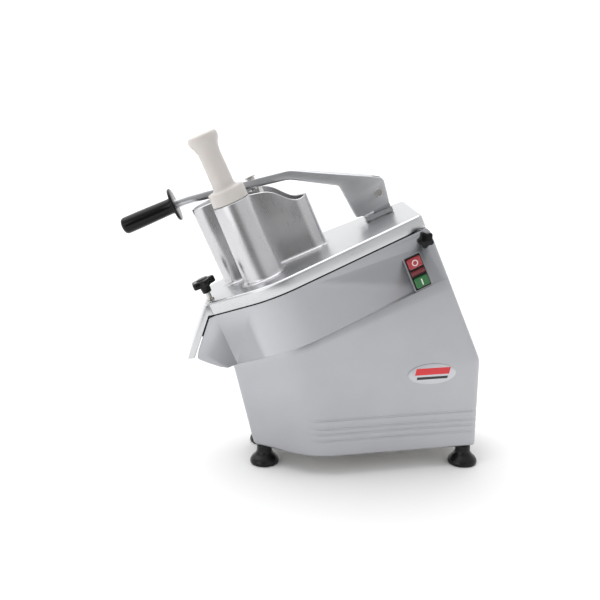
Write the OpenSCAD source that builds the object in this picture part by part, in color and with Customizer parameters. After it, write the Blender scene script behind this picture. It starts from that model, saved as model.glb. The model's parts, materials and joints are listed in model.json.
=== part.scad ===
// Tilted continuous-feed vegetable dicer, cast aluminium, counter-top.
// Millimetres, +Z up. +X is the rear of the machine, -X the discharge side.
// The upper half is drawn in a tilted frame: x up the slope, z square to the lid,
// with its origin where the spindle axis meets the top face of the lid.

/* [Overall] */
// Slope of the lid and the spindle
tilt = 23; // [18:0.5:28]
// Height of the lid top on the spindle axis above the counter
axis_height = 308; // [290:1:330]
// Outer radius of the round part of the upper housing
tub_radius = 112; // [108:1:118]
// Spindle axis to the front edge of the lid
front_reach = 121; // [116:1:128]
// Spindle axis to the rear edge of the lid
lid_rear = 220; // [214:1:228]
// How far the upper housing stands out behind the lid
rear_lip = 3.5; // [2:0.5:5]
// Half width of the front edge
front_half = 60; // [54:1:66]
// Half width of the rear edge
rear_half = 76; // [70:1:84]
// Corner radius at the front of the outline
front_corner = 10; // [7:1:14]
// Corner radius at the rear of the outline
rear_corner = 8; // [6:1:12]
// Wall thickness of the castings
wall = 4.5; // [3.5:0.5:5.5]

/* [Housing] */
// Depth of the lid skirt below its top face
lid_depth = 19; // [16:1:22]
// Open line between the lid and the housing
lid_gap = 2; // [1.6:0.2:3]
// Depth of the upper housing from its top edge to the seam
upper_depth = 81; // [76:1:88]
// Thickness of the tub floor
floor_thick = 7; // [5:0.5:9]
// Thickness of the lid plate
lid_plate = 6; // [5:0.5:8]
// Depth of the rear pocket below the housing top edge
pocket_depth = 23; // [22:0.5:26]
// Height of the discharge window in the tub wall
window_height = 51; // [44:1:54]
// Half width of the discharge window
window_half = 50; // [44:1:52]

/* [Base] */
// Height of the feet, which is the height of the base edge
foot_height = 31.5; // [26:0.5:38]
// Front of the base at its bottom edge, from the spindle top point
base_front = -42; // [-50:1:-30]
// Rear of the base, from the spindle top point
base_rear = 301; // [290:1:312]
// Radius of the round flank of the base bottom
base_radius = 100; // [94:1:106]
// Centre of that flank behind the spindle top point
base_round = 69; // [60:1:80]
// Half width of the base front at the bottom
base_front_half = 47; // [42:1:52]
// Half width of the base rear at the bottom
base_rear_half = 71; // [64:1:76]
// Depth of the cast lines on the flanks
groove_depth = 0.9; // [0.5:0.1:1.5]
// Height of one cast line
groove_width = 1.8; // [1:0.2:3]
// Thickness of the bottom plate
plate_thick = 3; // [2:0.5:4]
// Foot width at the counter
foot_diameter = 45; // [38:1:50]
// Foot neck width
foot_neck = 23; // [20:1:26]

/* [Feed] */
// Outer radius of the half-round feed hopper
hopper_radius = 86; // [82:1:90]
// Shift of the hopper centre toward the front
hopper_shift = 4; // [0:1:8]
// Near wall of the hopper, measured across from the spindle
hopper_near = -6; // [-9:0.5:-2]
// Hopper wall thickness
hopper_wall = 4; // [3:0.5:5]
// Hopper height at the front
hopper_height = 127; // [118:1:136]
// Hopper height at the low rear end
hopper_low = 80; // [74:1:86]
// Hopper corner radius
hopper_corner = 20; // [14:1:26]
// Round feed tube: bore
tube_bore = 49; // [44:1:54]
// Round feed tube: height
tube_height = 121; // [112:1:130]
// Round feed tube: wall at the top
tube_wall = 3.5; // [3:0.5:5]
// Round feed tube: axis along the slope
tube_u = -25; // [-30:1:-20]
// Round feed tube: axis across
tube_y = -43; // [-48:1:-40]
// Running gap between the hand pusher and the tube
pusher_gap = 0.4; // [0.3:0.05:0.8]
// Hand pusher: shaft width
pusher_shaft = 32; // [28:1:36]
// Hand pusher: collar height
collar_height = 20; // [16:1:24]
// Hand pusher: shaft length above the collar
pusher_reach = 84; // [78:1:100]

/* [Lever] */
// Lever pivot along the slope
pivot_u = 184; // [178:1:190]
// Lever pivot above the lid
pivot_v = 36; // [32:1:40]
// Lever mid plane across from the spindle
lever_y = 40; // [36:1:44]
// Lever arm thickness
arm_thick = 14; // [12:1:16]
// Lever arm depth
arm_depth = 14; // [12:1:16]
// Fork cheek thickness
cheek = 7; // [5:0.5:9]
// Gap between a cheek and the lug
cheek_gap = 0.6; // [0.4:0.1:1]
// Grip diameter
grip_diameter = 26; // [23:1:30]
// Grip length
grip_length = 86; // [78:1:96]
// Hand guard diameter
guard_diameter = 52; // [46:1:58]
// Press rod diameter
rod_diameter = 12; // [10:1:14]
// Press rod along the slope
rod_u = 11; // [6:1:14]
// Lever bend along the slope
bend_u = 71; // [66:1:76]
// Lever bend above the lid
bend_v = 121.5; // [120:0.5:126]
// Press plate thickness
press_thick = 8; // [6:1:10]
// Gap between the press plate and the hopper wall
press_gap = 3.5; // [3:0.5:4.5]

/* [Closing] */
// Hinge axis along the slope
hinge_u = 210; // [208:0.5:212]
// Hinge axis below the lid top
hinge_v = 33; // [32:0.5:34]
// Hinge rod diameter
hinge_rod_d = 9; // [8:0.5:9]
// Radial running clearance of shafts in bores
running = 0.06; // [0.03:0.01:0.1]
// Clamp stud diameter
stud_d = 7; // [6:0.5:8]
// Clamp stud along the slope, ahead of the spindle
stud_u = 112; // [110:0.5:113]
// Clamp stud across, toward the control side
stud_y = 43; // [40:1:45]
// Clamp knob diameter
knob_d = 37; // [32:1:42]
// Hinge knob diameter
small_knob_d = 25; // [22:1:28]

/* [Drive] */
// Cutting disc diameter
disc_d = 205; // [196:1:206]
// Spindle diameter in its bearings
spindle_d = 25; // [22:1:27]
// Spindle diameter in the tub
spindle_top_d = 20; // [18:1:21]
// Motor shell diameter over the ribs
motor_d = 126; // [116:1:128]
// Motor axis behind the spindle
motor_u = 130; // [126:1:136]
// Motor shaft diameter
motor_shaft_d = 14; // [12:1:16]
// Belt diameter on the spindle pulley
pulley_d = 135; // [125:1:140]
// Belt diameter on the motor pulley
pinion_d = 30; // [28:1:34]
// Belt width
belt_width = 14; // [10:1:16]

/* [Controls] */
// Switch plate length
switch_length = 54; // [48:1:58]
// Switch plate width
switch_width = 28; // [25:1:30]
// Switch plate centre along the slope
switch_u = 183; // [176:1:186]
// Switch plate centre below the lid top
switch_v = 74; // [72:0.5:75]
// Button height above the plate
button_proud = 3; // [2.8:0.2:4]

/* [Hidden] */
$fn = 72;
eps = 0.5;
rear_reach = lid_rear + rear_lip;
top_v = -lid_depth - lid_gap;
seam_v = top_v - upper_depth;
floor_v = seam_v + floor_thick;
pocket_v = top_v - pocket_depth;
rear_cx = rear_reach - rear_corner;
rear_cy = rear_half - 0.85 * rear_corner;
taper = asin((tub_radius - rear_corner) / norm([rear_cx, rear_cy])) - atan2(rear_cy, rear_cx);
grip_v = 142;
grip_start = -110;
grip_end = grip_start - grip_length - 4;
grip_round = 6;
grip_r = grip_diameter / 2;
x_min = (grip_end + grip_round) * cos(tilt) - (grip_v + grip_r - grip_round) * sin(tilt) - grip_round;
shift_x = -(x_min + base_rear) / 2;
knee_v = -(base_rear - rear_reach * cos(tilt)) / sin(tilt);
knee_z = axis_height + rear_reach * sin(tilt) + knee_v * cos(tilt);
knee_half = (rear_half + base_rear_half) / 2;
tub_inner = tub_radius - wall - 0.5;
pull_v = floor_v - 136;
tube_r = tube_bore / 2 + tube_wall;
pusher_r = tube_bore / 2 - pusher_gap;
rim_gap = 0.4;
press_v = 3;
disc_v = -10;
pin_d = 10;
lug_thick = arm_thick;
fork_half = lug_thick / 2 + cheek_gap + cheek;
foot_x = [base_front + 16, base_rear - 18];
foot_y = [base_front_half - 5, base_rear_half - 9.5];
seam_bolts = [82, 118, 242, 278];
cheek_half = front_half + 0.4 * front_corner;
bolt_circle = tub_inner - 9;
flange_circle = 39;
motor_circle = 50;
bearing_r = 23.5;
plate_screw_x = [base_round - 20, base_round + 100];
plate_screw_y = base_radius - 22;
lug_y = 46;
lug_half = 6;
bolt_head_r = 8;
bolt_head_high = 2.2;
pin_head_r = 6.5;
pin_head_high = 1.6;
bracket_screw_u = [pivot_u - 30, pivot_u + 4];
lock_nut_r = 11;
lock_nut_high = 8.5;
gland_x = base_rear - 60;
gland_z = foot_height + 45;
badge_x = base_rear - 76;
badge_z = foot_height + 123.5;
badge_width = 76;
badge_height = 33;
c_cast = [0.76, 0.77, 0.78];
c_bright = [0.86, 0.87, 0.88];
c_steel = [0.7, 0.71, 0.73];
c_dark = [0.12, 0.12, 0.13];

// Frames

module world() translate([shift_x, 0, 0]) children();

module tilted() translate([shift_x, 0, axis_height]) rotate([0, -tilt, 0]) children();

// On the near side wall of the upper housing: x along the wall, -y outward
function side_y(u) = tub_radius / cos(taper) - u * tan(taper);

module on_side(u, v) translate([u, -side_y(u), v]) rotate([0, 0, taper]) children();

// Extrude a drawing of the slope/height plane across the machine
module across(y0, y1) translate([0, y1, 0]) rotate([90, 0, 0]) linear_extrude(y1 - y0) children();

module rod_v(r, v0, v1) translate([0, 0, v0]) cylinder(r = r, h = v1 - v0);

module rod_y(r, y0, y1) translate([0, y1, 0]) rotate([90, 0, 0]) cylinder(r = r, h = y1 - y0);

module rod_x(r, x0, x1) translate([x0, 0, 0]) rotate([0, 90, 0]) cylinder(r = r, h = x1 - x0);

module ring_v(r1, r0, v0, v1) difference() {
    rod_v(r1, v0, v1);
    rod_v(r0, v0 - eps, v1 + eps);
}

// The circles whose tangents make the outline of the lid and the housing, inset by t
module plan_circles(t, rear) {
    circle(r = tub_radius - t);
    for (s = [-1, 1]) {
        translate([-front_reach + front_corner, s * (front_half - 0.6 * front_corner)])
            circle(r = front_corner - t, $fn = 32);
        translate([rear - rear_corner, s * rear_cy])
            circle(r = rear_corner - t, $fn = 32);
    }
}

module plan(t, rear) hull() plan_circles(t, rear);

module slab(t, rear, v0, v1) translate([0, 0, v0]) linear_extrude(v1 - v0) plan(t, rear);

// The circles of the bottom outline of the base, inset by t
module base_circles(t) {
    translate([base_round, 0]) circle(r = base_radius - t);
    for (s = [-1, 1]) {
        translate([base_front + 14, s * (base_front_half - 9)]) circle(r = 14 - t, $fn = 32);
        translate([base_rear - 12, s * (base_rear_half - 10)]) circle(r = 12 - t, $fn = 32);
    }
}

// Drafted base body, inset by t and stretched by e past both open ends
module base_solid(t, e) hull() {
    tilted() translate([0, 0, seam_v - 1]) linear_extrude(1 + e) plan_circles(t, rear_reach);
    world() translate([0, 0, foot_height - e]) linear_extrude(1) base_circles(t);
    for (s = [-1, 1])
        world() translate([base_rear - 12, s * (knee_half - 10), knee_z - 2])
            cylinder(r = 12 - t, h = 2, $fn = 32);
}

// Base castings

module groove_bands() world()
    for (z = [56, 67, 76, 90])
        translate([34, -150, z]) cube([300, 300, groove_width]);

module base_housing() color(c_cast) difference() {
    union() {
        difference() {
            base_solid(0, 0);
            base_solid(wall, eps);
            difference() {
                groove_bands();
                base_solid(groove_depth, eps);
            }
        }
        tilted() for (a = seam_bolts)
            rotate(a) translate([bolt_circle, 0, 0]) rod_v(9, seam_v - 30, seam_v);
        world() for (i = [0, 1], s = [-1, 1])
            translate([foot_x[i], s * foot_y[i], 0]) rod_v(8, foot_height + plate_thick, foot_height + 34);
    }
    tilted() for (a = seam_bolts)
        rotate(a) translate([bolt_circle, 0, 0]) rod_v(3.1, seam_v - 25, seam_v + eps);
    world() for (i = [0, 1], s = [-1, 1])
        translate([foot_x[i], s * foot_y[i], 0]) rod_v(4.1, foot_height, foot_height + 28);
    world() translate([gland_x, 0, gland_z]) rod_y(9.1, 40, 120);
}

module base_plate() color(c_steel) world() difference() {
    translate([0, 0, foot_height]) linear_extrude(plate_thick) hull() base_circles(wall + 0.2);
    for (i = [0, 1], s = [-1, 1])
        translate([foot_x[i], s * foot_y[i], 0]) rod_v(4.1, 0, 60);
    for (x = plate_screw_x, s = [-1, 1])
        translate([x, s * plate_screw_y, 0]) rod_v(2.1, 0, 60);
    for (i = [-3:3])
        translate([base_round + 60 + 12 * i, 0, foot_height + 1]) cube([5, 70, 8], center = true);
}

module base_plate_screws() color(c_steel) world()
    for (x = plate_screw_x, s = [-1, 1])
        translate([x, s * plate_screw_y, 0]) {
            rod_v(2, foot_height - 0.2, foot_height + 12);
            rod_v(4, foot_height - 2.4, foot_height - 0.05);
        }

module foot() color(c_dark) difference() {
    rotate_extrude() polygon([[0, 0], [foot_diameter / 2 - 3, 0], [foot_diameter / 2 - 0.8, 1],
        [foot_diameter / 2, 3], [foot_diameter / 2 - 0.2, 6], [foot_diameter / 2 - 1.6, 9],
        [foot_diameter / 2 - 4.5, 12], [foot_diameter / 2 - 8, 15], [foot_neck / 2 + 1, 18.5],
        [foot_neck / 2, 22], [foot_neck / 2, foot_height - 1.5],
        [foot_neck / 2 - 1, foot_height - 0.05], [0, foot_height - 0.05]]);
    rod_v(4.1, -eps, foot_height + 1);
    rod_v(8, -eps, 9);
}

module foot_at(i, s) world() translate([foot_x[i], s * foot_y[i], 0]) foot();

module foot_front_near() foot_at(0, -1);
module foot_front_far() foot_at(0, 1);
module foot_rear_near() foot_at(1, -1);
module foot_rear_far() foot_at(1, 1);

module foot_bolts() color(c_steel) world() for (i = [0, 1], s = [-1, 1])
    translate([foot_x[i], s * foot_y[i], 0]) {
        rod_v(4, 8.9, foot_height + 26);
        rod_v(7, 3.5, 8.95);
    }

module cord_gland() color(c_dark) world() translate([gland_x, 0, gland_z]) difference() {
    union() {
        rod_y(9, 60, 92);
        translate([0, 94, 0]) rotate([90, 0, 0]) cylinder(r = 13, h = 7, $fn = 6);
        rod_y(8, 87, 99);
        rod_y(12, 66, 71);
    }
    rod_y(4.2, 50, 110);
}

module badge_plate() color(c_bright) intersection() {
    difference() {
        base_solid(-1, 0);
        base_solid(-0.06, 0);
    }
    world() translate([badge_x, 0, badge_z]) rotate([0, 2, 0]) across(-110, -60)
        scale([badge_width, badge_height]) circle(d = 1, $fn = 72);
}

// Upper housing: tub, chute cheeks, rear pocket and electrical space

chute_cheek = [[-front_reach - 2, top_v], [-front_reach - 39, seam_v + 39.5],
    [-front_reach - 43, seam_v + 32.5], [-front_reach - 41, seam_v + 28.5],
    [-front_reach - 31, seam_v + 18], [-front_reach - 18, seam_v + 6], [-front_reach - 5, seam_v - 2],
    [-front_reach + 7, seam_v], [-front_reach + 21, top_v - 20], [-front_reach + 21, top_v]];

module upper_housing() color(c_cast) tilted() difference() {
    union() {
        slab(0, rear_reach, seam_v, top_v);
        intersection() {
            across(-cheek_half, cheek_half) polygon(chute_cheek);
            translate([-front_reach - 79, -100, seam_v]) cube([150, 200, -seam_v]);
        }
        translate([hinge_u, 0, -hinge_v]) rod_y(9, -side_y(hinge_u) - 2.4, -side_y(hinge_u) + 10);
        translate([hinge_u, 0, -hinge_v]) rod_y(9, side_y(hinge_u) - 12, side_y(hinge_u) - 2);
    }
    rod_v(tub_inner, floor_v, 0);
    translate([-front_reach - 49, -window_half, floor_v]) cube([120, 2 * window_half, window_height]);
    translate([-front_reach - 119, -window_half, seam_v - 5]) cube([119, 2 * window_half, 120]);
    difference() {
        union() {
            slab(wall, rear_reach, pocket_v, 0);
            slab(wall, rear_reach, seam_v - 1, pocket_v - 3);
        }
        rod_v(tub_radius + 1, seam_v - 2, 1);
        translate([-300, -200, -200]) cube([300, 400, 300]);
    }
    difference() {
        translate([hinge_u, -150, -hinge_v]) cube([100, 300, 60]);
        translate([hinge_u, 0, -hinge_v]) rod_y(hinge_v + top_v + 1.5, -160, 160);
    }
    for (s = [-1, 1])
        translate([hinge_u, s * lug_y - lug_half - 1, -hinge_v]) cube([40, 2 * lug_half + 2, 40]);
    translate([hinge_u, 0, -hinge_v]) rod_y(hinge_rod_d / 2 + running, -120, side_y(hinge_u) - 5);
    translate([-stud_u, -stud_y, 0]) rod_v(stud_d / 2 + 0.9, top_v - 14, 0);
    rod_v(20.05, seam_v - eps, floor_v + 2);
    for (a = seam_bolts) {
        rotate(a) translate([bolt_circle, 0, 0]) rod_v(3.1, seam_v - 1, floor_v + 1);
        rotate(a) translate([bolt_circle, 0, floor_v - 3.05]) cylinder(r1 = 3.1, r2 = 6.2, h = 3.1);
    }
    for (a = [0, 90, 180, 270]) rotate(a) translate([flange_circle, 0, 0]) rod_v(2.55, seam_v - 1, floor_v - 2);
    on_side(switch_u, -switch_v) translate([-11.5, -10, -24]) cube([23, 20, 48]);
}

module housing_bolts() color(c_steel) tilted() for (a = seam_bolts)
    rotate(a) translate([bolt_circle, 0, 0]) {
        rod_v(3, seam_v - 22, floor_v - 2.9);
        translate([0, 0, floor_v - 3]) cylinder(r1 = 3, r2 = 5.9, h = 2.9);
    }

module lid_gasket() color(c_dark) tilted() difference() {
    slab(0.6, lid_rear, top_v + 0.02, top_v + lid_gap - 0.4);
    slab(wall - 0.6, lid_rear, top_v - 1, top_v + 5);
    translate([hinge_u - 10, -150, top_v - 1]) cube([60, 300, 8]);
    translate([-stud_u, -stud_y, 0]) rod_v(stud_d / 2 + 1.5, top_v - 1, 0);
}

// Controls

module switch_bezel() color(c_dark) tilted() on_side(switch_u, -switch_v) difference() {
    translate([0, -0.02, 0]) across(-4, 0) hull()
        for (x = [-1, 1], z = [-1, 1])
            translate([x * (switch_width / 2 - 3), z * (switch_length / 2 - 3)]) circle(r = 3, $fn = 32);
    for (z = [-15, 15]) translate([-11, -20, z - 8]) cube([22, 40, 16]);
    translate([-11, -20, -4]) cube([22, 40, 8]);
}

module pilot_lens() color([0.45, 0.05, 0.05]) tilted() on_side(switch_u, -switch_v)
    translate([-10.9, -5, -3.9]) cube([21.8, 8, 7.8]);

module button(z, tint) tilted() on_side(switch_u, -switch_v) color(tint) difference() {
    translate([0, 0, z]) across(-4 - button_proud, 4) hull()
        for (x = [-1, 1], h = [-1, 1]) translate([x * 8.6, h * 5.6]) circle(r = 2, $fn = 24);
    translate([0, 0, z]) children();
}

module stop_button() button(15, [0.75, 0.08, 0.08]) translate([0, -4 - button_proud, 0]) rotate([90, 0, 0])
    difference() {
        translate([0, 0, -0.5]) cylinder(r = 4.6, h = 2);
        translate([0, 0, -2]) cylinder(r = 3.4, h = 5);
    }

module start_button() button(-15, [0.05, 0.5, 0.2])
    translate([-0.6, -5 - button_proud, -4.5]) cube([1.2, 1.5, 9]);

module switch_block() color(c_dark) tilted() on_side(switch_u, -switch_v) difference() {
    translate([-13.5, wall + 0.4, -26]) cube([27, 28, 52]);
    translate([-12, 0, -24.5]) cube([24, 7.6, 49]);
}

module safety_switch() color(c_dark) tilted() translate([150, 0, pocket_v]) {
    translate([-12, -8, 0.02]) cube([24, 16, 12]);
    translate([-18, -8, 0.02]) cube([36, 16, 3]);
}

module lid_magnet() color(c_steel) tilted() translate([150, 0, 0]) {
    rod_v(7, -lid_plate - 6, -lid_plate - 0.02);
}

// Spindle and drive

module spindle_housing() color(c_cast) tilted() difference() {
    union() {
        rod_v(48, seam_v - 8, seam_v - 0.02);
        rod_v(31, seam_v - 102, seam_v - 4);
        for (a = [45:90:315]) rotate(a) translate([24, -3, seam_v - 45]) cube([16, 6, 40]);
    }
    rod_v(21, seam_v - 110, seam_v + 1);
    rod_v(bearing_r + 0.05, seam_v - 30.5, seam_v + 1);
    rod_v(bearing_r + 0.05, seam_v - 110, seam_v - 81.5);
    for (a = [0, 90, 180, 270]) rotate(a) translate([flange_circle, 0, 0]) rod_v(3.1, seam_v - 20, seam_v + 1);
}

module spindle_housing_screws() color(c_steel) tilted() for (a = [0, 90, 180, 270])
    rotate(a) translate([flange_circle, 0, 0]) {
        rod_v(2.5, seam_v - 9, floor_v - 3);
        rod_v(5, seam_v - 13, seam_v - 8.05);
    }

module bearing(v0, bore) color(c_steel) tilted() translate([0, 0, v0]) difference() {
    union() {
        ring_v(bearing_r, 19.5, 0, 12);
        ring_v(16.5, bore, 0, 12);
        ring_v(20, 16, 2, 10);
    }
    translate([0, 0, -1]) rod_v(bore, 0, 20);
}

module bearing_upper() bearing(seam_v - 30, spindle_d / 2 + running);
module bearing_lower() bearing(seam_v - 94, spindle_d / 2 + running);

module spindle_seal() color(c_dark) tilted() ring_v(20, spindle_d / 2 + running, seam_v + 0.05, floor_v - 0.5);

module spindle() color(c_steel) tilted() difference() {
    union() {
        rod_v(spindle_d / 2, seam_v - 98, floor_v + 4);
        rod_v(spindle_top_d / 2, pull_v - 22, disc_v - 6);
        translate([-4, -15, -46]) cube([8, 30, 5]);
    }
    translate([0, 0, disc_v - 12]) cylinder(r = 3, h = 10);
}

module driven_pulley() color(c_cast) tilted() difference() {
    union() {
        ring_v(pulley_d / 2 - 0.4, 52, pull_v - 8, pull_v + 8);
        ring_v(pulley_d / 2 + 4, 52, pull_v - 10, pull_v - 8);
        ring_v(pulley_d / 2 + 4, 52, pull_v + 8, pull_v + 10);
        rod_v(53, pull_v - 4, pull_v + 4);
        rod_v(20, pull_v - 12, pull_v + 14);
    }
    rod_v(spindle_top_d / 2 + 0.02, pull_v - 30, pull_v + 30);
    for (a = [0:60:300]) rotate(a) translate([36, 0, 0]) rod_v(9, pull_v - 20, pull_v + 20);
}

module pulley_nut() color(c_steel) tilted() difference() {
    translate([0, 0, pull_v - 19]) cylinder(r = 15, h = 6.9, $fn = 6);
    rod_v(spindle_top_d / 2 + 0.02, pull_v - 40, pull_v);
}

module ejector_disc() color(c_cast) tilted() difference() {
    union() {
        rod_v(99, floor_v + 3, floor_v + 6);
        rod_v(26, floor_v + 3, floor_v + 24);
        for (a = [0:90:270]) rotate(a) translate([20, -2, floor_v + 4]) cube([76, 4, 34]);
    }
    rod_v(spindle_top_d / 2 + 0.03, floor_v - 5, 0);
    rod_v(17, floor_v - 5, floor_v + 12);
    ring_v(200, 98.9, floor_v, 0);
}

module blade_pose(a) rotate(a) translate([58, 2, disc_v]) children();

module slicing_disc() color(c_steel) tilted() difference() {
    union() {
        rod_v(disc_d / 2, disc_v - 3, disc_v);
        rod_v(disc_d / 2, disc_v - 9, disc_v - 2.5);
        rod_v(27, disc_v - 30, disc_v);
    }
    ring_v(disc_d / 2 - 4, 27, disc_v - 12, disc_v - 3);
    rod_v(spindle_top_d / 2 + 0.05, disc_v - 40, disc_v - 4);
    translate([-4.4, -15.4, disc_v - 40]) cube([8.8, 30.8, 9]);
    for (a = [0, 180]) blade_pose(a) translate([-31, -9, -8]) cube([68, 9, 12]);
}

module slicing_blades() color(c_bright) tilted() for (a = [0, 180]) blade_pose(a) {
    translate([-30, 0.4, 0.05]) cube([66, 15, 1.2]);
    translate([-30, -4, 0.05]) across(0.4, 4.6) square([66, 1.2]);
    for (x = [-20, 3, 26]) translate([x, 10, 1.2]) cylinder(r = 2.4, h = 0.6, $fn = 24);
}

module motor_screws() color(c_steel) tilted() translate([motor_u, 0, 0]) for (a = [45:90:315])
    rotate(a) translate([motor_circle, 0, 0]) {
        rod_v(2.5, pull_v + 11, pull_v + 27);
        rod_v(4.5, pull_v + 8, pull_v + 12.9);
    }

module motor_body() color([0.3, 0.32, 0.35]) tilted() translate([motor_u, 0, 0]) difference() {
    union() {
        rod_v(motor_d / 2 - 4, pull_v + 22, seam_v - 33);
        for (a = [0:15:345]) rotate(a) translate([motor_d / 2 - 6, -1.2, pull_v + 26])
            cube([6, 2.4, seam_v - 37 - pull_v - 26]);
    }
    rod_v(37, pull_v - 50, seam_v);
    for (a = [45:90:315]) rotate(a) translate([motor_circle, 0, 0]) rod_v(2.55, pull_v - 50, pull_v + 32);
}

module motor_end_bell() color(c_cast) tilted() translate([motor_u, 0, 0]) difference() {
    union() {
        rod_v(motor_d / 2 - 4, pull_v + 18, pull_v + 21.98);
        rod_v(20, pull_v + 12, pull_v + 20);
    }
    rod_v(motor_shaft_d / 2 + running, pull_v, pull_v + 40);
    for (a = [45:90:315]) rotate(a) translate([motor_circle, 0, 0]) rod_v(2.6, pull_v, pull_v + 40);
}

module motor_mount() color(c_steel) difference() {
    intersection() {
        tilted() translate([58, -120, pull_v + 13]) cube([150, 240, 4.95]);
        base_solid(wall + 0.1, 0);
    }
    tilted() translate([motor_u, 0, 0]) {
        rod_v(20.3, pull_v, pull_v + 40);
        for (a = [45:90:315]) rotate(a) translate([motor_circle, 0, 0]) rod_v(2.6, pull_v, pull_v + 40);
    }
}

module motor_fan_cover() color([0.2, 0.2, 0.22]) tilted() translate([motor_u, 0, 0]) difference() {
    rod_v(motor_d / 2 - 3, seam_v - 32.95, seam_v - 3);
    rod_v(motor_d / 2 - 5, seam_v - 34, seam_v - 5);
    for (a = [0:30:330]) rotate(a) translate([22, -2.5, seam_v - 10]) cube([28, 5, 20]);
}

module motor_rotor() color(c_steel) tilted() translate([motor_u, 0, 0]) {
    rod_v(motor_shaft_d / 2, pull_v - 12, seam_v - 10);
    rod_v(36.5, pull_v + 30, seam_v - 42);
}

module motor_fan() color(c_dark) tilted() translate([motor_u, 0, 0]) difference() {
    union() {
        rod_v(13, seam_v - 30, seam_v - 9);
        rod_v(50, seam_v - 30, seam_v - 28);
        for (a = [0:45:315]) rotate(a) translate([10, -1, seam_v - 29]) cube([40, 2, 18]);
    }
    rod_v(motor_shaft_d / 2 + 0.02, seam_v - 60, seam_v - 2);
}

module motor_pulley() color(c_steel) tilted() translate([motor_u, 0, 0]) difference() {
    union() {
        rod_v(pinion_d / 2 - 0.4, pull_v - 8, pull_v + 8);
        rod_v(pinion_d / 2 + 3, pull_v - 10, pull_v - 8);
        rod_v(pinion_d / 2 + 3, pull_v + 8, pull_v + 10);
    }
    rod_v(motor_shaft_d / 2 + 0.02, pull_v - 30, pull_v + 30);
}

module belt_loop(t) hull() {
    circle(r = pulley_d / 2 + t);
    translate([motor_u, 0]) circle(r = pinion_d / 2 + t, $fn = 48);
}

module drive_belt() color(c_dark) tilted() translate([0, 0, pull_v - belt_width / 2])
    linear_extrude(belt_width) difference() {
        belt_loop(2.6);
        belt_loop(0);
    }

module capacitor() color(c_cast) world() translate([base_rear - 92, 34, foot_height + plate_thick + 23]) {
    rod_x(18, 0, 72);
    rod_x(7, -8, 0.5);
}

module capacitor_clip() color(c_steel) world()
    translate([base_rear - 62, 34, foot_height + plate_thick + 23]) difference() {
        union() {
            rod_x(20, 0, 14);
            translate([0, -34, -22.95]) cube([14, 68, 3]);
            translate([0, -12, -22]) cube([14, 24, 10]);
        }
        rod_x(18.05, -1, 15);
        for (s = [-1, 1]) translate([7, s * 27, 0]) rod_v(2.2, -30, 0);
    }

module terminal_block() color([0.85, 0.84, 0.8]) world()
    translate([base_rear - 120, -56, foot_height + plate_thick + 0.02]) difference() {
        cube([54, 20, 18]);
        for (i = [0:4]) translate([7 + 10 * i, 10, 10]) rod_v(2.5, 0, 20);
    }

// Lid

apron_out = [[-front_reach, 0], [-front_reach - 57, seam_v + 37], [-front_reach - 48, seam_v + 33.5],
    [-front_reach - 45.5, seam_v + 35.8], [-front_reach - 1.5, -17.2], [-front_reach + 6, -lid_depth],
    [-front_reach + 6, 0]];
apron_in = [[-front_reach + 1, -7], [-front_reach - 70, seam_v + 14], [-front_reach - 40, seam_v + 7],
    [-front_reach + 1, -lid_depth - 5]];

module hinge_lug(y0) translate([hinge_u, 0, -hinge_v]) difference() {
    union() {
        rod_y(8.3, y0 - lug_half, y0 + lug_half);
        across(y0 - lug_half, y0 + lug_half) polygon([[0, 8.2], [-18, hinge_v - lid_plate + 1],
            [-42, hinge_v - lid_plate + 1], [-30, 8], [0, -8.2]]);
    }
    rod_y(hinge_rod_d / 2 + running, -100, 100);
}

module feed_inner(t) {
    intersection() {
        offset(r = hopper_corner - t) offset(delta = -hopper_corner) intersection() {
            translate([-hopper_shift, 0]) circle(r = hopper_radius, $fn = 96);
            translate([-120, hopper_near]) square([240, 200]);
        }
        square(400, center = true);
    }
}

module lid() color(c_bright) tilted() difference() {
    union() {
        difference() {
            slab(0, lid_rear, -lid_depth, 0);
            slab(wall, lid_rear, -lid_depth - 1, -lid_plate);
        }
        difference() {
            across(-cheek_half, cheek_half) polygon(apron_out);
            across(-cheek_half + 4, cheek_half - 4) polygon(apron_in);
        }
        translate([-stud_u, -stud_y, 0]) rod_v(7.5, -lid_depth, -1);
        for (s = [-1, 1]) hinge_lug(s * lug_y);
        translate([pivot_u - 8, lever_y, 0]) linear_extrude(1.2) square([60, 38], center = true);
    }
    translate([0, 0, -20]) linear_extrude(40) feed_inner(hopper_wall);
    translate([tube_u, tube_y, 0]) rod_v(tube_bore / 2, -20, 20);
    translate([-stud_u, -stud_y, 0]) rod_v(stud_d / 2 + running, -40, 10);
    translate([-stud_u - 30, -stud_y - 2.2, -40]) cube([30, 4.4, 60]);
    for (u = bracket_screw_u) translate([u, lever_y, 0]) rod_v(2.6, -20, 20);
}

rim_cut = [[-16, 300], [-16, hopper_height + 1], [-12, hopper_height - 6], [-2, hopper_height - 11],
    [12, hopper_height - 13.5], [26, hopper_height - 17], [36, hopper_height - 22.5],
    [45, (hopper_height + hopper_low) / 2 - 6], [53, hopper_low + 7], [60, hopper_low + 2],
    [67, hopper_low], [74, hopper_low + 0.6], [90, hopper_low + 4], [120, hopper_low + 4], [120, 300]];

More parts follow.
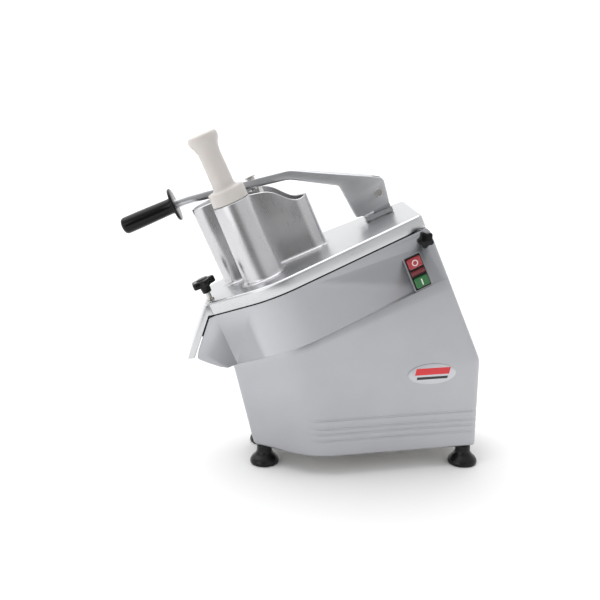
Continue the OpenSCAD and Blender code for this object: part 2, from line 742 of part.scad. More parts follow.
module feed_hopper() color(c_bright) tilted() difference() {
    union() {
        difference() {
            union() {
                translate([0, 0, 0.02]) linear_extrude(hopper_height) feed_inner(0);
                translate([tube_u - 12, tube_y + 14, 0.02]) cube([24, 26, hopper_height - 12]);
            }
            across(-14, 120) polygon(rim_cut);
        }
        translate([tube_u, tube_y, 0.02]) cylinder(r1 = tube_r + 3, r2 = tube_r, h = tube_height);
        translate([0, 0, 0.02]) linear_extrude(4) feed_inner(-4);
        translate([tube_u, tube_y, 0.02]) cylinder(r1 = tube_r + 7, r2 = tube_r + 3, h = 5);
        translate([-hopper_shift - hopper_radius - 5, 14, hopper_height - 4]) cube([12, 34, 3.5]);
    }
    translate([0, 0, -1]) linear_extrude(hopper_height + 10) feed_inner(hopper_wall);
    translate([tube_u, tube_y, 0]) rod_v(tube_bore / 2, -1, tube_height + 2);
}

module lever_bracket() color(c_cast) tilted() difference() {
    union() {
        translate([pivot_u - 34, lever_y - 16, 1.22]) cube([44.5, 32, 7]);
        across(lever_y - lug_thick / 2, lever_y + lug_thick / 2) hull() {
            translate([pivot_u, pivot_v]) circle(r = 9.5, $fn = 48);
            translate([pivot_u - 18, 4]) square([28, 4]);
        }
    }
    translate([pivot_u, 0, pivot_v]) rod_y(pin_d / 2 + running, 0, 100);
    for (u = bracket_screw_u) translate([u, lever_y, 0]) rod_v(2.6, 0, 9);
}

module bracket_screws() color(c_steel) tilted() for (u = bracket_screw_u)
    translate([u, lever_y, 0]) {
        rod_v(2.5, -8, 8.3);
    }

// Lever group

arm_start = grip_start + 10;
arm_rise = (grip_v + 8.5 - bend_v) / (bend_u - arm_start);
fork_top = [[pivot_u - 16, pivot_v + 35], [pivot_u + 15, pivot_v + 17], [pivot_u + 10, pivot_v - 19]];
fork_low = [[pivot_u + 5, pivot_v - 22], [pivot_u - 33, pivot_v - 25], [pivot_u - 46, pivot_v - 24]];
arm_top = concat([[arm_start, grip_v + 8.5], [bend_u, bend_v]], fork_top);
arm_low = concat(fork_low, [[pivot_u - 53, pivot_v + 34], [bend_u - 5, bend_v - arm_depth],
    [arm_start, grip_v + 8.5 - arm_depth]]);
head_v = bend_v + arm_rise * (bend_u - rod_u + bolt_head_r) + 0.3;
nut_v = bend_v - arm_depth + arm_rise * (bend_u - 5 - rod_u - lock_nut_r) - lock_nut_high - 0.4;

module lever() color(c_bright) tilted() difference() {
    union() {
        across(lever_y - arm_thick / 2, lever_y + arm_thick / 2) polygon(concat(arm_top, arm_low));
        across(lever_y - fork_half, lever_y + fork_half)
            polygon(concat([[pivot_u - 58, pivot_v + 56]], fork_top, fork_low, [[pivot_u - 54, pivot_v + 44]]));
        translate([0, lever_y, grip_v]) rod_x(7, -116, -92);
        translate([0, lever_y, grip_v]) rod_x(5.95, grip_end + 16, -100);
    }
    translate([pivot_u - 26, lever_y - lug_thick / 2 - cheek_gap, 0])
        cube([80, lug_thick + 2 * cheek_gap, pivot_v + 26]);
    translate([pivot_u, 0, pivot_v]) rod_y(pin_d / 2 + 0.02, -20, 100);
    translate([rod_u, lever_y, 0]) rod_v(rod_diameter / 2 + 0.05, 90, 170);
}

module lever_pin() color(c_steel) tilted() translate([pivot_u, 0, pivot_v]) {
    rod_y(pin_d / 2, lever_y - fork_half - 0.5, lever_y + fork_half + 0.5);
    rod_y(pin_head_r, lever_y - fork_half - pin_head_high, lever_y - fork_half - 0.02);
    rod_y(pin_head_r, lever_y + fork_half + 0.02, lever_y + fork_half + pin_head_high);
}

module lever_grip() color(c_dark) tilted() translate([0, lever_y, grip_v]) rotate([0, -90, 0]) difference() {
    rotate_extrude() polygon(concat(
        [[0, -grip_start], [guard_diameter / 2 - 1.5, -grip_start], [guard_diameter / 2, -grip_start + 1.5],
            [guard_diameter / 2 - 1, -grip_start + 4.5], [grip_r - 1, -grip_start + 6.5],
            [grip_r - 0.5, -grip_start + 30], [grip_r, -grip_start + 60]],
        [for (a = [0:15:90]) [grip_r - grip_round + grip_round * cos(a),
            -grip_end - grip_round + grip_round * sin(a)]],
        [[0, -grip_end]]));
    rod_v(6, -grip_start - 1, -grip_end - 15);
    rod_v(7.05, -grip_start - 1, 116.1);
}

module press_rod() color(c_steel) tilted() translate([rod_u, lever_y, 0]) {
    rod_v(rod_diameter / 2, press_v + 4, head_v + 1);
    translate([0, 0, head_v]) cylinder(r = bolt_head_r, h = bolt_head_high, $fn = 6);
}

module press_nut() color(c_dark) tilted() translate([rod_u, lever_y, 0]) difference() {
    translate([0, 0, nut_v]) cylinder(r = lock_nut_r, h = lock_nut_high, $fn = 6);
    rod_v(rod_diameter / 2 + 0.05, 90, 130);
}

module press_plate() color(c_cast) tilted() difference() {
    union() {
        translate([-2.5, 0, press_v]) linear_extrude(press_thick) feed_inner(hopper_wall + press_gap + 1);
        translate([rod_u, lever_y, 0]) rod_v(15, press_v + 1, press_v + press_thick + 10);
        for (a = [90, 210, 330]) translate([rod_u, lever_y, press_v + 3]) rotate(a)
            translate([0, -2, 0]) cube([30, 4, press_thick + 2]);
    }
    translate([rod_u, lever_y, 0]) rod_v(rod_diameter / 2 + 0.05, press_v + 3.9, 60);
}

// Hand pusher

module hand_pusher() color([0.93, 0.93, 0.9]) tilted() translate([tube_u, tube_y, tube_height + rim_gap])
    difference() {
        rotate_extrude() polygon([[0, -108], [pusher_r - 2, -108], [pusher_r, -106], [pusher_r, -1],
            [pusher_r - 1, 0], [tube_r - 1.5, 0], [tube_r - 0.8, 1], [tube_r - 0.8, collar_height - 1.5],
            [tube_r - 2.3, collar_height], [pusher_shaft / 2 + 4, collar_height + 0.6],
            [pusher_shaft / 2 + 1.2, collar_height + 3], [pusher_shaft / 2, collar_height + 7],
            [pusher_shaft / 2, collar_height + pusher_reach - 30],
            [pusher_shaft / 2 + 1.5, collar_height + pusher_reach - 23],
            [pusher_shaft / 2 + 5, collar_height + pusher_reach - 14],
            [pusher_shaft / 2 + 6.5, collar_height + pusher_reach - 8],
            [pusher_shaft / 2 + 6, collar_height + pusher_reach - 3],
            [pusher_shaft / 2 + 3, collar_height + pusher_reach], [0, collar_height + pusher_reach]]);
        rod_v(pusher_r - 4, -109, -12);
    }

// Knobs

module star(r, h, lobe) linear_extrude(h) {
    circle(r = r - lobe * 1.2);
    for (a = [0:72:288]) rotate(a + 7) translate([r - lobe, 0]) circle(r = lobe, $fn = 32);
}

module clamp_stud() color(c_steel) tilted() translate([-stud_u, -stud_y, 0]) {
    rod_v(stud_d / 2, top_v - 11, 18);
    rod_v(stud_d / 2 + 2, 0.4, 2.4);
}

module clamp_knob() color(c_dark) tilted() translate([-stud_u, -stud_y, 0]) difference() {
    union() {
        translate([0, 0, 12]) cylinder(r1 = 6.5, r2 = 7.5, h = 12);
        translate([0, 0, 23]) star(knob_d / 2, 10, 6.2);
        translate([0, 0, 33]) cylinder(r1 = 10, r2 = 8.5, h = 1.5);
    }
    rod_v(stud_d / 2 + 0.02, 5, 18.05);
}

module hinge_rod() color(c_steel) tilted() translate([hinge_u, 0, -hinge_v])
    rod_y(hinge_rod_d / 2, -side_y(hinge_u) - 14, side_y(hinge_u) - 6);

module hinge_knob() color(c_dark) tilted() translate([hinge_u, 0, -hinge_v]) difference() {
    union() {
        rod_y(7.5, -side_y(hinge_u) - 9, -side_y(hinge_u) - 3);
        translate([0, -side_y(hinge_u) - 8, 0]) rotate([90, 0, 0]) rotate(18) star(small_knob_d / 2, 10, 4.4);
        rod_y(6.5, -side_y(hinge_u) - 19.5, -side_y(hinge_u) - 10);
    }
    rod_y(hinge_rod_d / 2 + 0.02, -side_y(hinge_u) - 14.05, 0);
}

base_housing();
base_plate();
base_plate_screws();
foot_front_near();
foot_front_far();
foot_rear_near();
foot_rear_far();
foot_bolts();
cord_gland();
badge_plate();
upper_housing();
housing_bolts();
lid_gasket();
switch_bezel();
pilot_lens();
switch_block();
safety_switch();
spindle_housing();
spindle_housing_screws();
bearing_upper();
bearing_lower();
spindle_seal();
motor_body();
motor_end_bell();
motor_fan_cover();
motor_mount();
motor_screws();
capacitor();
capacitor_clip();
terminal_block();
drive_belt();
spindle();
driven_pulley();
pulley_nut();
ejector_disc();
slicing_disc();
slicing_blades();
motor_rotor();
motor_pulley();
motor_fan();
lid();
feed_hopper();
lever_bracket();
bracket_screws();
lid_magnet();
lever();
lever_pin();
lever_grip();
press_rod();
press_nut();
press_plate();
hand_pusher();
clamp_stud();
clamp_knob();
hinge_rod();
hinge_knob();
stop_button();
start_button();
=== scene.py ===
"""Looks of a tilted vegetable cutter for a restaurant kitchen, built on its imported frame.

The castings, the half-round hopper, the press lever, the hand pusher, the knobs, the feet and the
push buttons are modelled here as finished pieces. The parts inside the machine keep their own
solids and get their materials here. Sizes are millimetres; a mesh is turned into metres, and put
in its place, when it becomes a piece.
"""

import json
import logging
import math
from dataclasses import dataclass, field
from enum import Enum
from typing import Any, Callable, Optional, Sequence

import bmesh
import bpy
from mathutils import Matrix, Vector

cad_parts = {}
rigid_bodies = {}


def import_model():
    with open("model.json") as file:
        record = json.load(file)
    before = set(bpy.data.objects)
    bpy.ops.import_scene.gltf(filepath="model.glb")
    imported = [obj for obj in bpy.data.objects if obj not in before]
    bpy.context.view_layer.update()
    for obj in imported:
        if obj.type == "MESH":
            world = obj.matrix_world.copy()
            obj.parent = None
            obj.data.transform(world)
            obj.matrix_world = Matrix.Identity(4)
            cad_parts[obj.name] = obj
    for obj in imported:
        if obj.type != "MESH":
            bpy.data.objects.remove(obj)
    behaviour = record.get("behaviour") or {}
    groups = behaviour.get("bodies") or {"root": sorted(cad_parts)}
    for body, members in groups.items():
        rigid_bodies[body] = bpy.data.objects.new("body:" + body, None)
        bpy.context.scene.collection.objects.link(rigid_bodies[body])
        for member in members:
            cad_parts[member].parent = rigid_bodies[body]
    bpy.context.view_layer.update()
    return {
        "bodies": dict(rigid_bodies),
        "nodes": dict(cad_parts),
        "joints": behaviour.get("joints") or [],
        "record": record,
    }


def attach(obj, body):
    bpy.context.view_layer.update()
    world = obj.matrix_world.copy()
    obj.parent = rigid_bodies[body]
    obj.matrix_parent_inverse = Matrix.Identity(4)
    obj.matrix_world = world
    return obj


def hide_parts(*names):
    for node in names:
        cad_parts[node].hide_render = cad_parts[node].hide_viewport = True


MM = 0.001
LOG = logging.getLogger("vegetable_cutter")


class Body(Enum):
    """The bodies of the machine that pieces ride on."""

    MACHINE = "machine"
    CUTTING_SET = "cutting_set"
    MOTOR_DRIVE = "motor_drive"
    LID = "lid_group"
    LEVER = "lever_group"
    PUSHER = "pusher"
    CLAMP = "clamp"
    HINGE_PIN = "hinge_pin"
    STOP_KEY = "stop_key"
    START_KEY = "start_key"


class Slot(Enum):
    """The record's material slots."""

    CAST = "cast_aluminium"
    POLISHED = "polished_aluminium"
    STAINLESS = "stainless_steel"
    PLATED = "plated_steel"
    IRON = "cast_iron"
    BLACK = "black_plastic"
    RUBBER = "black_rubber"
    WHITE = "white_polyethylene"
    RED = "red_plastic"
    GREEN = "green_plastic"
    LENS = "lens_red"
    PAINT = "motor_paint"
    PALE = "pale_plastic"


class Cut(Enum):
    """How one solid is combined with another."""

    AWAY = "DIFFERENCE"
    ADD = "UNION"


# ---------------------------------------------------------------------------------------------
# Materials
# ---------------------------------------------------------------------------------------------


def srgb(code: str) -> tuple[float, float, float, float]:
    """Turn an sRGB hex colour into a linear one.

    Args:
        code: Six hex digits after a hash sign.

    Returns:
        Linear red, green, blue and an alpha of one.
    """
    parts = [int(code[i : i + 2], 16) / 255 for i in (1, 3, 5)]
    linear = [p / 12.92 if p <= 0.04045 else ((p + 0.055) / 1.055) ** 2.4 for p in parts]
    return (*linear, 1.0)


def add(tree: bpy.types.NodeTree, kind: str, inputs: Optional[dict] = None, **settings: Any) -> Any:
    """Add one node, with its settings, its values and its links.

    Args:
        tree: The node tree.
        kind: The node's type name.
        inputs: A value, or a socket to link from, for each input by name or number.
        settings: The node's own settings.

    Returns:
        The new node.
    """
    node = tree.nodes.new(kind)
    for name, value in settings.items():
        setattr(node, name, value)
    for key, value in (inputs or {}).items():
        if isinstance(value, bpy.types.NodeSocket):
            tree.links.new(value, node.inputs[key])
        else:
            node.inputs[key].default_value = value
    return node


@dataclass(frozen=True)
class Finish:
    """A surface: what it is made of and how it was made.

    The grain is a stretched noise. Its pitch is across the marks, its run is along them, both in
    millimetres, and its turn sets the direction of the marks.
    """

    name: str
    colour: str
    slot: Slot
    metallic: float = 0.0
    roughness: float = 0.4
    spread: float = 0.08
    pitch: float = 1.5
    run: tuple[float, float, float] = (1.0, 1.0, 1.0)
    turn: tuple[float, float, float] = (0.0, 0.0, 0.0)
    relief: float = 0.05
    patch: float = 60.0
    shade: float = 0.05
    coat: float = 0.0
    gloss: float = 0.5
    see_through: float = 0.0
    scatter: float = 0.0

    def material(self) -> bpy.types.Material:
        """Build the finish, once.

        Returns:
            The material that carries it.
        """
        made = bpy.data.materials.get(self.name)
        if made:
            return made
        made = bpy.data.materials.new(self.name)
        made.use_nodes = True
        tree = made.node_tree
        surface = tree.nodes["Principled BSDF"]
        place = add(tree, "ShaderNodeTexCoord").outputs["Object"]
        marks = self._marks(tree, place)
        patches = add(
            tree,
            "ShaderNodeTexNoise",
            {"Vector": place, "Scale": 1 / (self.patch * MM), "Detail": 3.0, "Roughness": 0.55},
        ).outputs["Fac"]
        self._colour(tree, surface, patches, marks)
        self._gloss(tree, surface, patches, marks)
        surface.inputs["Metallic"].default_value = self.metallic
        surface.inputs["Specular IOR Level"].default_value = self.gloss
        if self.coat:
            surface.inputs["Coat Weight"].default_value = self.coat
            surface.inputs["Coat Roughness"].default_value = 0.08
        if self.scatter:
            surface.inputs["Subsurface Weight"].default_value = self.scatter
            surface.inputs["Subsurface Radius"].default_value = (0.9, 0.8, 0.7)
            surface.inputs["Subsurface Scale"].default_value = 6 * MM
        if self.see_through:
            surface.inputs["Transmission Weight"].default_value = self.see_through
        return made

    def _marks(self, tree: bpy.types.NodeTree, place: bpy.types.NodeSocket) -> bpy.types.NodeSocket:
        """Draw the fine marks of the surface: grit, brushing or turning.

        Args:
            tree: The material's tree.
            place: The place on the piece.

        Returns:
            The socket with the height of the marks.
        """
        turned = add(
            tree, "ShaderNodeMapping", {"Vector": place, "Rotation": self.turn}, vector_type="TEXTURE"
        ).outputs[0]
        run = add(
            tree, "ShaderNodeVectorMath", {0: turned, 1: tuple(1 / r for r in self.run)}, operation="MULTIPLY"
        ).outputs[0]
        return add(
            tree,
            "ShaderNodeTexNoise",
            {"Vector": run, "Scale": 1 / (self.pitch * MM), "Detail": 4.0, "Roughness": 0.6},
        ).outputs["Fac"]

    def _colour(
        self,
        tree: bpy.types.NodeTree,
        surface: bpy.types.Node,
        patches: bpy.types.NodeSocket,
        marks: bpy.types.NodeSocket,
    ) -> None:
        """Vary the colour a little from patch to patch, and at the marks.

        Args:
            tree: The material's tree.
            surface: Its shader.
            patches: The slow variation.
            marks: The fine marks.
        """
        base = srgb(self.colour)
        darker = tuple(c * (1 - self.shade * 2) for c in base[:3]) + (1.0,)
        lighter = tuple(min(1.0, c * (1 + self.shade)) for c in base[:3]) + (1.0,)
        slow = add(
            tree, "ShaderNodeMapRange", {"Value": patches, "From Min": 0.3, "From Max": 0.7}
        ).outputs[0]
        both = add(tree, "ShaderNodeMath", {0: slow, 1: marks}, operation="ADD").outputs[0]
        share = add(tree, "ShaderNodeMath", {0: both, 1: 0.5}, operation="MULTIPLY").outputs[0]
        mixed = add(
            tree, "ShaderNodeMix", {"Factor": share, 6: darker, 7: lighter}, data_type="RGBA"
        ).outputs[2]
        tree.links.new(mixed, surface.inputs["Base Color"])

    def _gloss(
        self,
        tree: bpy.types.NodeTree,
        surface: bpy.types.Node,
        patches: bpy.types.NodeSocket,
        marks: bpy.types.NodeSocket,
    ) -> None:
        """Vary the roughness, and raise the marks from the surface.

        Args:
            tree: The material's tree.
            surface: Its shader.
            patches: The slow variation.
            marks: The fine marks.
        """
        both = add(tree, "ShaderNodeMath", {0: patches, 1: marks}, operation="ADD").outputs[0]
        rough = add(
            tree,
            "ShaderNodeMapRange",
            {
                "Value": both,
                "From Min": 0.6,
                "From Max": 1.4,
                "To Min": max(0.03, self.roughness - self.spread),
                "To Max": self.roughness + self.spread,
            },
        ).outputs[0]
        raised = add(
            tree, "ShaderNodeBump", {"Height": marks, "Distance": self.relief * MM, "Strength": 0.6}
        ).outputs[0]
        tree.links.new(rough, surface.inputs["Roughness"])
        tree.links.new(raised, surface.inputs["Normal"])


SLOPE_TURN = (0.0, -math.radians(23), 0.0)

# Aluminium, sand cast, blasted fine and lacquered: an even pale grey with soft, wide reflections.
CAST_SATIN = Finish("cast_aluminium_blasted", "#B4B5B9", Slot.CAST, 1.0, 0.4, 0.05, 1.4, relief=0.04, patch=70)
# The same casting left as it came, inside the tub and under the machine: rougher and darker.
CAST_RAW = Finish("cast_aluminium_raw", "#A9ABAF", Slot.CAST, 1.0, 0.5, 0.1, 1.1, relief=0.12, patch=25)
# Aluminium, ground along the slope and polished: a bright mirror blurred along the marks.
LID_POLISH = Finish(
    "aluminium_polished_lid", "#CFD0D2", Slot.POLISHED, 1.0, 0.3, 0.05, 1.6, (14.0, 1.0, 1.0), SLOPE_TURN, 0.014
)
# The hopper and its tube are polished up and down, so the marks run square to the lid.
HOPPER_POLISH = Finish(
    "aluminium_polished_hopper", "#CBCBCD", Slot.POLISHED, 1.0, 0.29, 0.05, 1.3, (1.0, 1.0, 18.0), SLOPE_TURN, 0.014
)
# The lever is linished along its arm.
LEVER_POLISH = Finish(
    "aluminium_linished_lever", "#CFD0D3", Slot.POLISHED, 1.0, 0.36, 0.06, 1.2, (12.0, 1.0, 1.0), SLOPE_TURN, 0.04
)
# Stainless steel, turned or drawn: fine marks and a slightly warm grey.
STAINLESS = Finish("stainless_steel_turned", "#C4C2BF", Slot.STAINLESS, 1.0, 0.22, 0.06, 0.9, (1.0, 1.0, 6.0))
# Steel plated with zinc: bright with a milky patchiness.
ZINC = Finish("steel_zinc_plated", "#D3D4D2", Slot.PLATED, 1.0, 0.27, 0.08, 2.5, patch=8, shade=0.06)
# Cast iron, machined: dark grey, dull.
IRON = Finish("cast_iron_machined", "#6B6B6D", Slot.IRON, 1.0, 0.45, 0.1, 0.8, relief=0.08, patch=15)
# Phenolic plastic, compression moulded: black, glossy, with a faint orange peel.
PHENOLIC = Finish("phenolic_moulded_black", "#09090B", Slot.BLACK, 0.0, 0.2, 0.06, 3.0, relief=0.03, gloss=0.24)
# Polyamide, injection moulded with a spark-eroded grain: black, half matt.
POLYAMIDE = Finish("polyamide_moulded_black", "#131315", Slot.BLACK, 0.0, 0.36, 0.08, 0.9, relief=0.06, gloss=0.3)
# Nitrile rubber, moulded: black, nearly matt, a little dust in the grain.
RUBBER = Finish("rubber_moulded_black", "#0C0C0E", Slot.RUBBER, 0.0, 0.3, 0.1, 1.2, relief=0.06, shade=0.15, gloss=0.3)
# Polyamide, grey, for the flange under the button frame.
GREY_FRAME = Finish("polyamide_moulded_grey", "#8A8C8F", Slot.BLACK, 0.0, 0.4, 0.06, 0.9, relief=0.05)
# Polyethylene, turned from bar: waxy white that lets light into its edges.
POLYETHYLENE = Finish(
    "polyethylene_natural", "#D2CDC9", Slot.WHITE, 0.0, 0.34, 0.06, 1.5, (1.0, 1.0, 0.3), SLOPE_TURN, 0.03, scatter=0.35
)
# Acrylonitrile styrene, glossy and coloured through, for the two keys.
KEY_RED = Finish("abs_gloss_red", "#A93840", Slot.RED, 0.0, 0.22, 0.05, 2.0, relief=0.02, coat=0.2)
KEY_GREEN = Finish("abs_gloss_green", "#2C6E3A", Slot.GREEN, 0.0, 0.22, 0.05, 2.0, relief=0.02, coat=0.2)
KEY_MARK_RED = Finish("abs_inlaid_white_stop", "#E6D5D3", Slot.RED, 0.0, 0.35, 0.05, 2.0, relief=0.01)
KEY_MARK_GREEN = Finish("abs_inlaid_white_start", "#DCE6DC", Slot.GREEN, 0.0, 0.35, 0.05, 2.0, relief=0.01)
# Acrylic, tinted dark red, with the lamp behind it off.
LENS = Finish("acrylic_tinted_red", "#78242A", Slot.LENS, 0.0, 0.12, 0.04, 2.0, relief=0.02, coat=0.5)
# Epoxy paint, sprayed on the motor: dark grey with an orange peel.
MOTOR_PAINT = Finish("epoxy_paint_grey", "#3F4449", Slot.PAINT, 0.0, 0.42, 0.08, 2.2, relief=0.08)
# Polyamide, pale, for terminals.
PALE = Finish("polyamide_moulded_pale", "#D9D5C8", Slot.PALE, 0.0, 0.45, 0.08, 1.0, relief=0.05)
# Printed stripes on the badge plate: plain colour under clear lacquer.
BADGE_RED = Finish("screen_ink_red", "#D8232A", Slot.POLISHED, 0.0, 0.35, 0.05, 1.0, relief=0.01, coat=0.3)
BADGE_BLACK = Finish("screen_ink_black", "#1B1B1D", Slot.POLISHED, 0.0, 0.4, 0.05, 1.0, relief=0.01, coat=0.3)
BADGE_PLATE = Finish("aluminium_lacquered_badge", "#C6C7CB", Slot.POLISHED, 1.0, 0.38, 0.05, 0.8, relief=0.02)

BY_SLOT = {
    Slot.CAST: CAST_RAW,
    Slot.POLISHED: LID_POLISH,
    Slot.STAINLESS: STAINLESS,
    Slot.PLATED: ZINC,
    Slot.IRON: IRON,
    Slot.BLACK: POLYAMIDE,
    Slot.RUBBER: RUBBER,
    Slot.WHITE: POLYETHYLENE,
    Slot.RED: KEY_RED,
    Slot.GREEN: KEY_GREEN,
    Slot.LENS: LENS,
    Slot.PAINT: MOTOR_PAINT,
    Slot.PALE: PALE,
}


# ---------------------------------------------------------------------------------------------
# Outlines and solids
# ---------------------------------------------------------------------------------------------


def turn2(direction: Vector, angle: float) -> Vector:
    """Turn a plane direction.

    Args:
        direction: The direction.
        angle: Radians, counter-clockwise.

    Returns:
        The turned direction.
    """
    c, s = math.cos(angle), math.sin(angle)
    return Vector((direction.x * c - direction.y * s, direction.x * s + direction.y * c))


def smooth(value: float) -> float:
    """Ease a share between nought and one, flat at both ends."""
    t = min(1.0, max(0.0, value))
    return t * t * (3 - 2 * t)


def curve_through(points: Sequence[tuple[float, float]], steps: int) -> list[tuple[float, float]]:
    """Draw a smooth curve through points of a profile.

    Args:
        points: The points, in order.
        steps: Steps between one point and the next.

    Returns:
        The curve's points, both ends among them.
    """
    ends = [points[0], *points, points[-1]]
    out = []
    for i in range(1, len(ends) - 2):
        p0, p1, p2, p3 = (Vector(p) for p in ends[i - 1 : i + 3])
        for k in range(steps):
            t = k / steps
            bent = (p1 * 2 + (p2 - p0) * t + (p0 * 2 - p1 * 5 + p2 * 4 - p3) * t**2) * 0.5
            bent += (p1 * 3 - p0 - p2 * 3 + p3) * (0.5 * t**3)
            out.append((bent.x, bent.y))
    return out + [tuple(points[-1])]


@dataclass(frozen=True)
class Corner:
    """A round corner of an outline, and the straight stretch after it."""

    x: float
    y: float
    radius: float
    steps: int = 8
    edge_steps: int = 1

    @property
    def centre(self) -> Vector:
        """The corner's centre."""
        return Vector((self.x, self.y))


@dataclass(frozen=True)
class Spot:
    """A point of an outline, which way is out there, and where on the outline it is."""

    place: Vector
    out: Vector
    corner: int
    travel: float


@dataclass(frozen=True)
class Outline:
    """A belt drawn round circles, counter-clockwise."""

    corners: tuple[Corner, ...]

    def _facing(self, i: int) -> Vector:
        """The outward direction of the stretch after corner i."""
        here, after = self.corners[i], self.corners[(i + 1) % len(self.corners)]
        span = after.centre - here.centre
        lean = max(-1.0, min(1.0, (here.radius - after.radius) / span.length))
        return turn2(span.normalized(), -math.acos(lean))

    def spots(self, inset: float = 0.0) -> list[Spot]:
        """List the outline's points.

        Args:
            inset: How far inside the outline they lie.

        Returns:
            The points, always as many and in the same order.
        """
        out = []
        for i, corner in enumerate(self.corners):
            first, last = self._facing(i - 1), self._facing(i)
            start = math.atan2(first.y, first.x)
            sweep = (math.atan2(last.y, last.x) - start) % math.tau
            sweep = 0.0 if sweep > math.tau - 1e-6 else sweep
            for k in range(corner.steps + 1):
                facing = turn2(Vector((1, 0)), start + sweep * k / corner.steps)
                out.append(Spot(corner.centre + facing * (corner.radius - inset), facing, i, 0.0))
            after = self.corners[(i + 1) % len(self.corners)]
            near, far = out[-1].place, after.centre + last * (after.radius - inset)
            for k in range(1, corner.edge_steps):
                share = k / corner.edge_steps
                out.append(Spot(near.lerp(far, share), last, i, share))
        return out

    def ring(self, inset: float, height: float) -> list[Vector]:
        """The outline at one height, as points in space."""
        return [Vector((*s.place, height)) for s in self.spots(inset)]


def loft(rings: Sequence[Sequence[Vector]], cap: bool = False, tube: bool = False) -> bmesh.types.BMesh:
    """Join rings of points by faces.

    Args:
        rings: Rings with equally many points.
        cap: Close the first and the last ring.
        tube: Join the last ring to the first.

    Returns:
        A closed shell whose faces point out.
    """
    bm = bmesh.new()
    rows = [[bm.verts.new(p) for p in ring] for ring in rings]
    count = len(rows[0])
    pairs = list(zip(rows, rows[1:])) + ([(rows[-1], rows[0])] if tube else [])
    for low, high in pairs:
        for i in range(count):
            j = (i + 1) % count
            bm.faces.new((low[i], low[j], high[j], high[i]))
    if cap:
        bm.faces.new(rows[0][::-1])
        bm.faces.new(rows[-1])
    bmesh.ops.remove_doubles(bm, verts=bm.verts, dist=1e-3)
    bmesh.ops.recalc_face_normals(bm, faces=bm.faces)
    return bm


def lathe(profile: Sequence[tuple[float, float]], steps: int = 64) -> bmesh.types.BMesh:
    """Turn a profile round the height axis.

    Args:
        profile: Radius and height, from one end to the other. It starts and ends on the axis, or
            it is a closed ring that starts and ends away from it.
        steps: Faces round the axis.

    Returns:
        The turned solid.
    """
    rings = [
        [Vector((r * math.cos(math.tau * k / steps), r * math.sin(math.tau * k / steps), h)) for k in range(steps)]
        for r, h in profile
    ]
    return loft(rings, tube=profile[0][0] > 0)


def prism(outline: Sequence[tuple[float, float]], low: float, high: float) -> bmesh.types.BMesh:
    """Extrude a drawing along the third axis.

    Args:
        outline: Points of the drawing.
        low: Where the solid starts.
        high: Where it ends.

    Returns:
        The solid.
    """
    return loft([[Vector((*p, h)) for p in outline] for h in (low, high)], cap=True)


def block(low: Sequence[float], high: Sequence[float]) -> bmesh.types.BMesh:
    """A box between two corners, used to cut with."""
    return prism([(low[0], low[1]), (high[0], low[1]), (high[0], high[1]), (low[0], high[1])], low[2], high[2])


def rod(radius: float, low: float, high: float, steps: int = 48) -> bmesh.types.BMesh:
    """A round rod along the height axis, used to cut with or to join."""
    return lathe([(0, low), (radius, low), (radius, high), (0, high)], steps)


def moved(bm: bmesh.types.BMesh, matrix: Matrix) -> bmesh.types.BMesh:
    """Move a mesh, and hand it back."""
    bmesh.ops.transform(bm, matrix=matrix, verts=bm.verts)
    if matrix.determinant() < 0:
        bmesh.ops.reverse_faces(bm, faces=bm.faces)
    return bm


def along_y(x: float, z: float) -> Matrix:
    """Lay a solid's height axis along -Y through a point, so that its drawing lies in the XZ plane."""
    return Matrix.Translation((x, 0, z)) @ Matrix.Rotation(math.radians(90), 4, "X")


def soften(
    bm: bmesh.types.BMesh,
    width: float,
    segments: int = 2,
    angle: float = 35,
    where: Callable[[Vector], bool] = lambda p: True,
) -> bmesh.types.BMesh:
    """Round the sharp edges of a mesh.

    Args:
        bm: The mesh.
        width: How far the rounding reaches from an edge.
        segments: Faces across it.
        angle: Degrees above which an edge is sharp.
        where: Says of an edge's middle whether it is rounded.

    Returns:
        The same mesh.
    """
    limit = math.radians(angle)
    edges = [
        e
        for e in bm.edges
        if len(e.link_faces) == 2
        and e.calc_face_angle(0) > limit
        and where((e.verts[0].co + e.verts[1].co) / 2)
    ]
    bmesh.ops.bevel(bm, geom=edges, offset=width, segments=segments, affect="EDGES", profile=0.5, clamp_overlap=True)
    return bm


def as_object(bm: bmesh.types.BMesh, name: str) -> bpy.types.Object:
    """Put a mesh in an object of the scene."""
    mesh = bpy.data.meshes.new(name)
    bm.to_mesh(mesh)
    bm.free()
    obj = bpy.data.objects.new(name, mesh)
    bpy.context.scene.collection.objects.link(obj)
    return obj


def as_mesh(obj: bpy.types.Object) -> bmesh.types.BMesh:
    """Take an object's finished mesh, and remove the object."""
    graph = bpy.context.evaluated_depsgraph_get()
    mesh = bpy.data.meshes.new_from_object(obj.evaluated_get(graph))
    bm = bmesh.new()
    bm.from_mesh(mesh)
    bpy.data.meshes.remove(mesh)
    bpy.data.objects.remove(obj)
    return bm


def combine(base: bmesh.types.BMesh, how: Cut, *tools: bmesh.types.BMesh) -> bmesh.types.BMesh:
    """Cut solids out of a solid, or join them to it.

    Args:
        base: The solid.
        how: Whether the others are cut away or added.
        tools: The other solids.

    Returns:
        The result as one mesh.
    """
    for tool in tools:
        target, other = as_object(base, "base"), as_object(tool, "tool")
        change = target.modifiers.new("combine", "BOOLEAN")
        change.operation = how.value
        change.object = other
        change.solver = "EXACT"
        bpy.context.view_layer.update()
        base = as_mesh(target)
        bpy.data.objects.remove(other)
    bmesh.ops.remove_doubles(base, verts=base.verts, dist=2e-3)
    bmesh.ops.dissolve_degenerate(base, dist=1e-3, edges=base.edges)
    return base


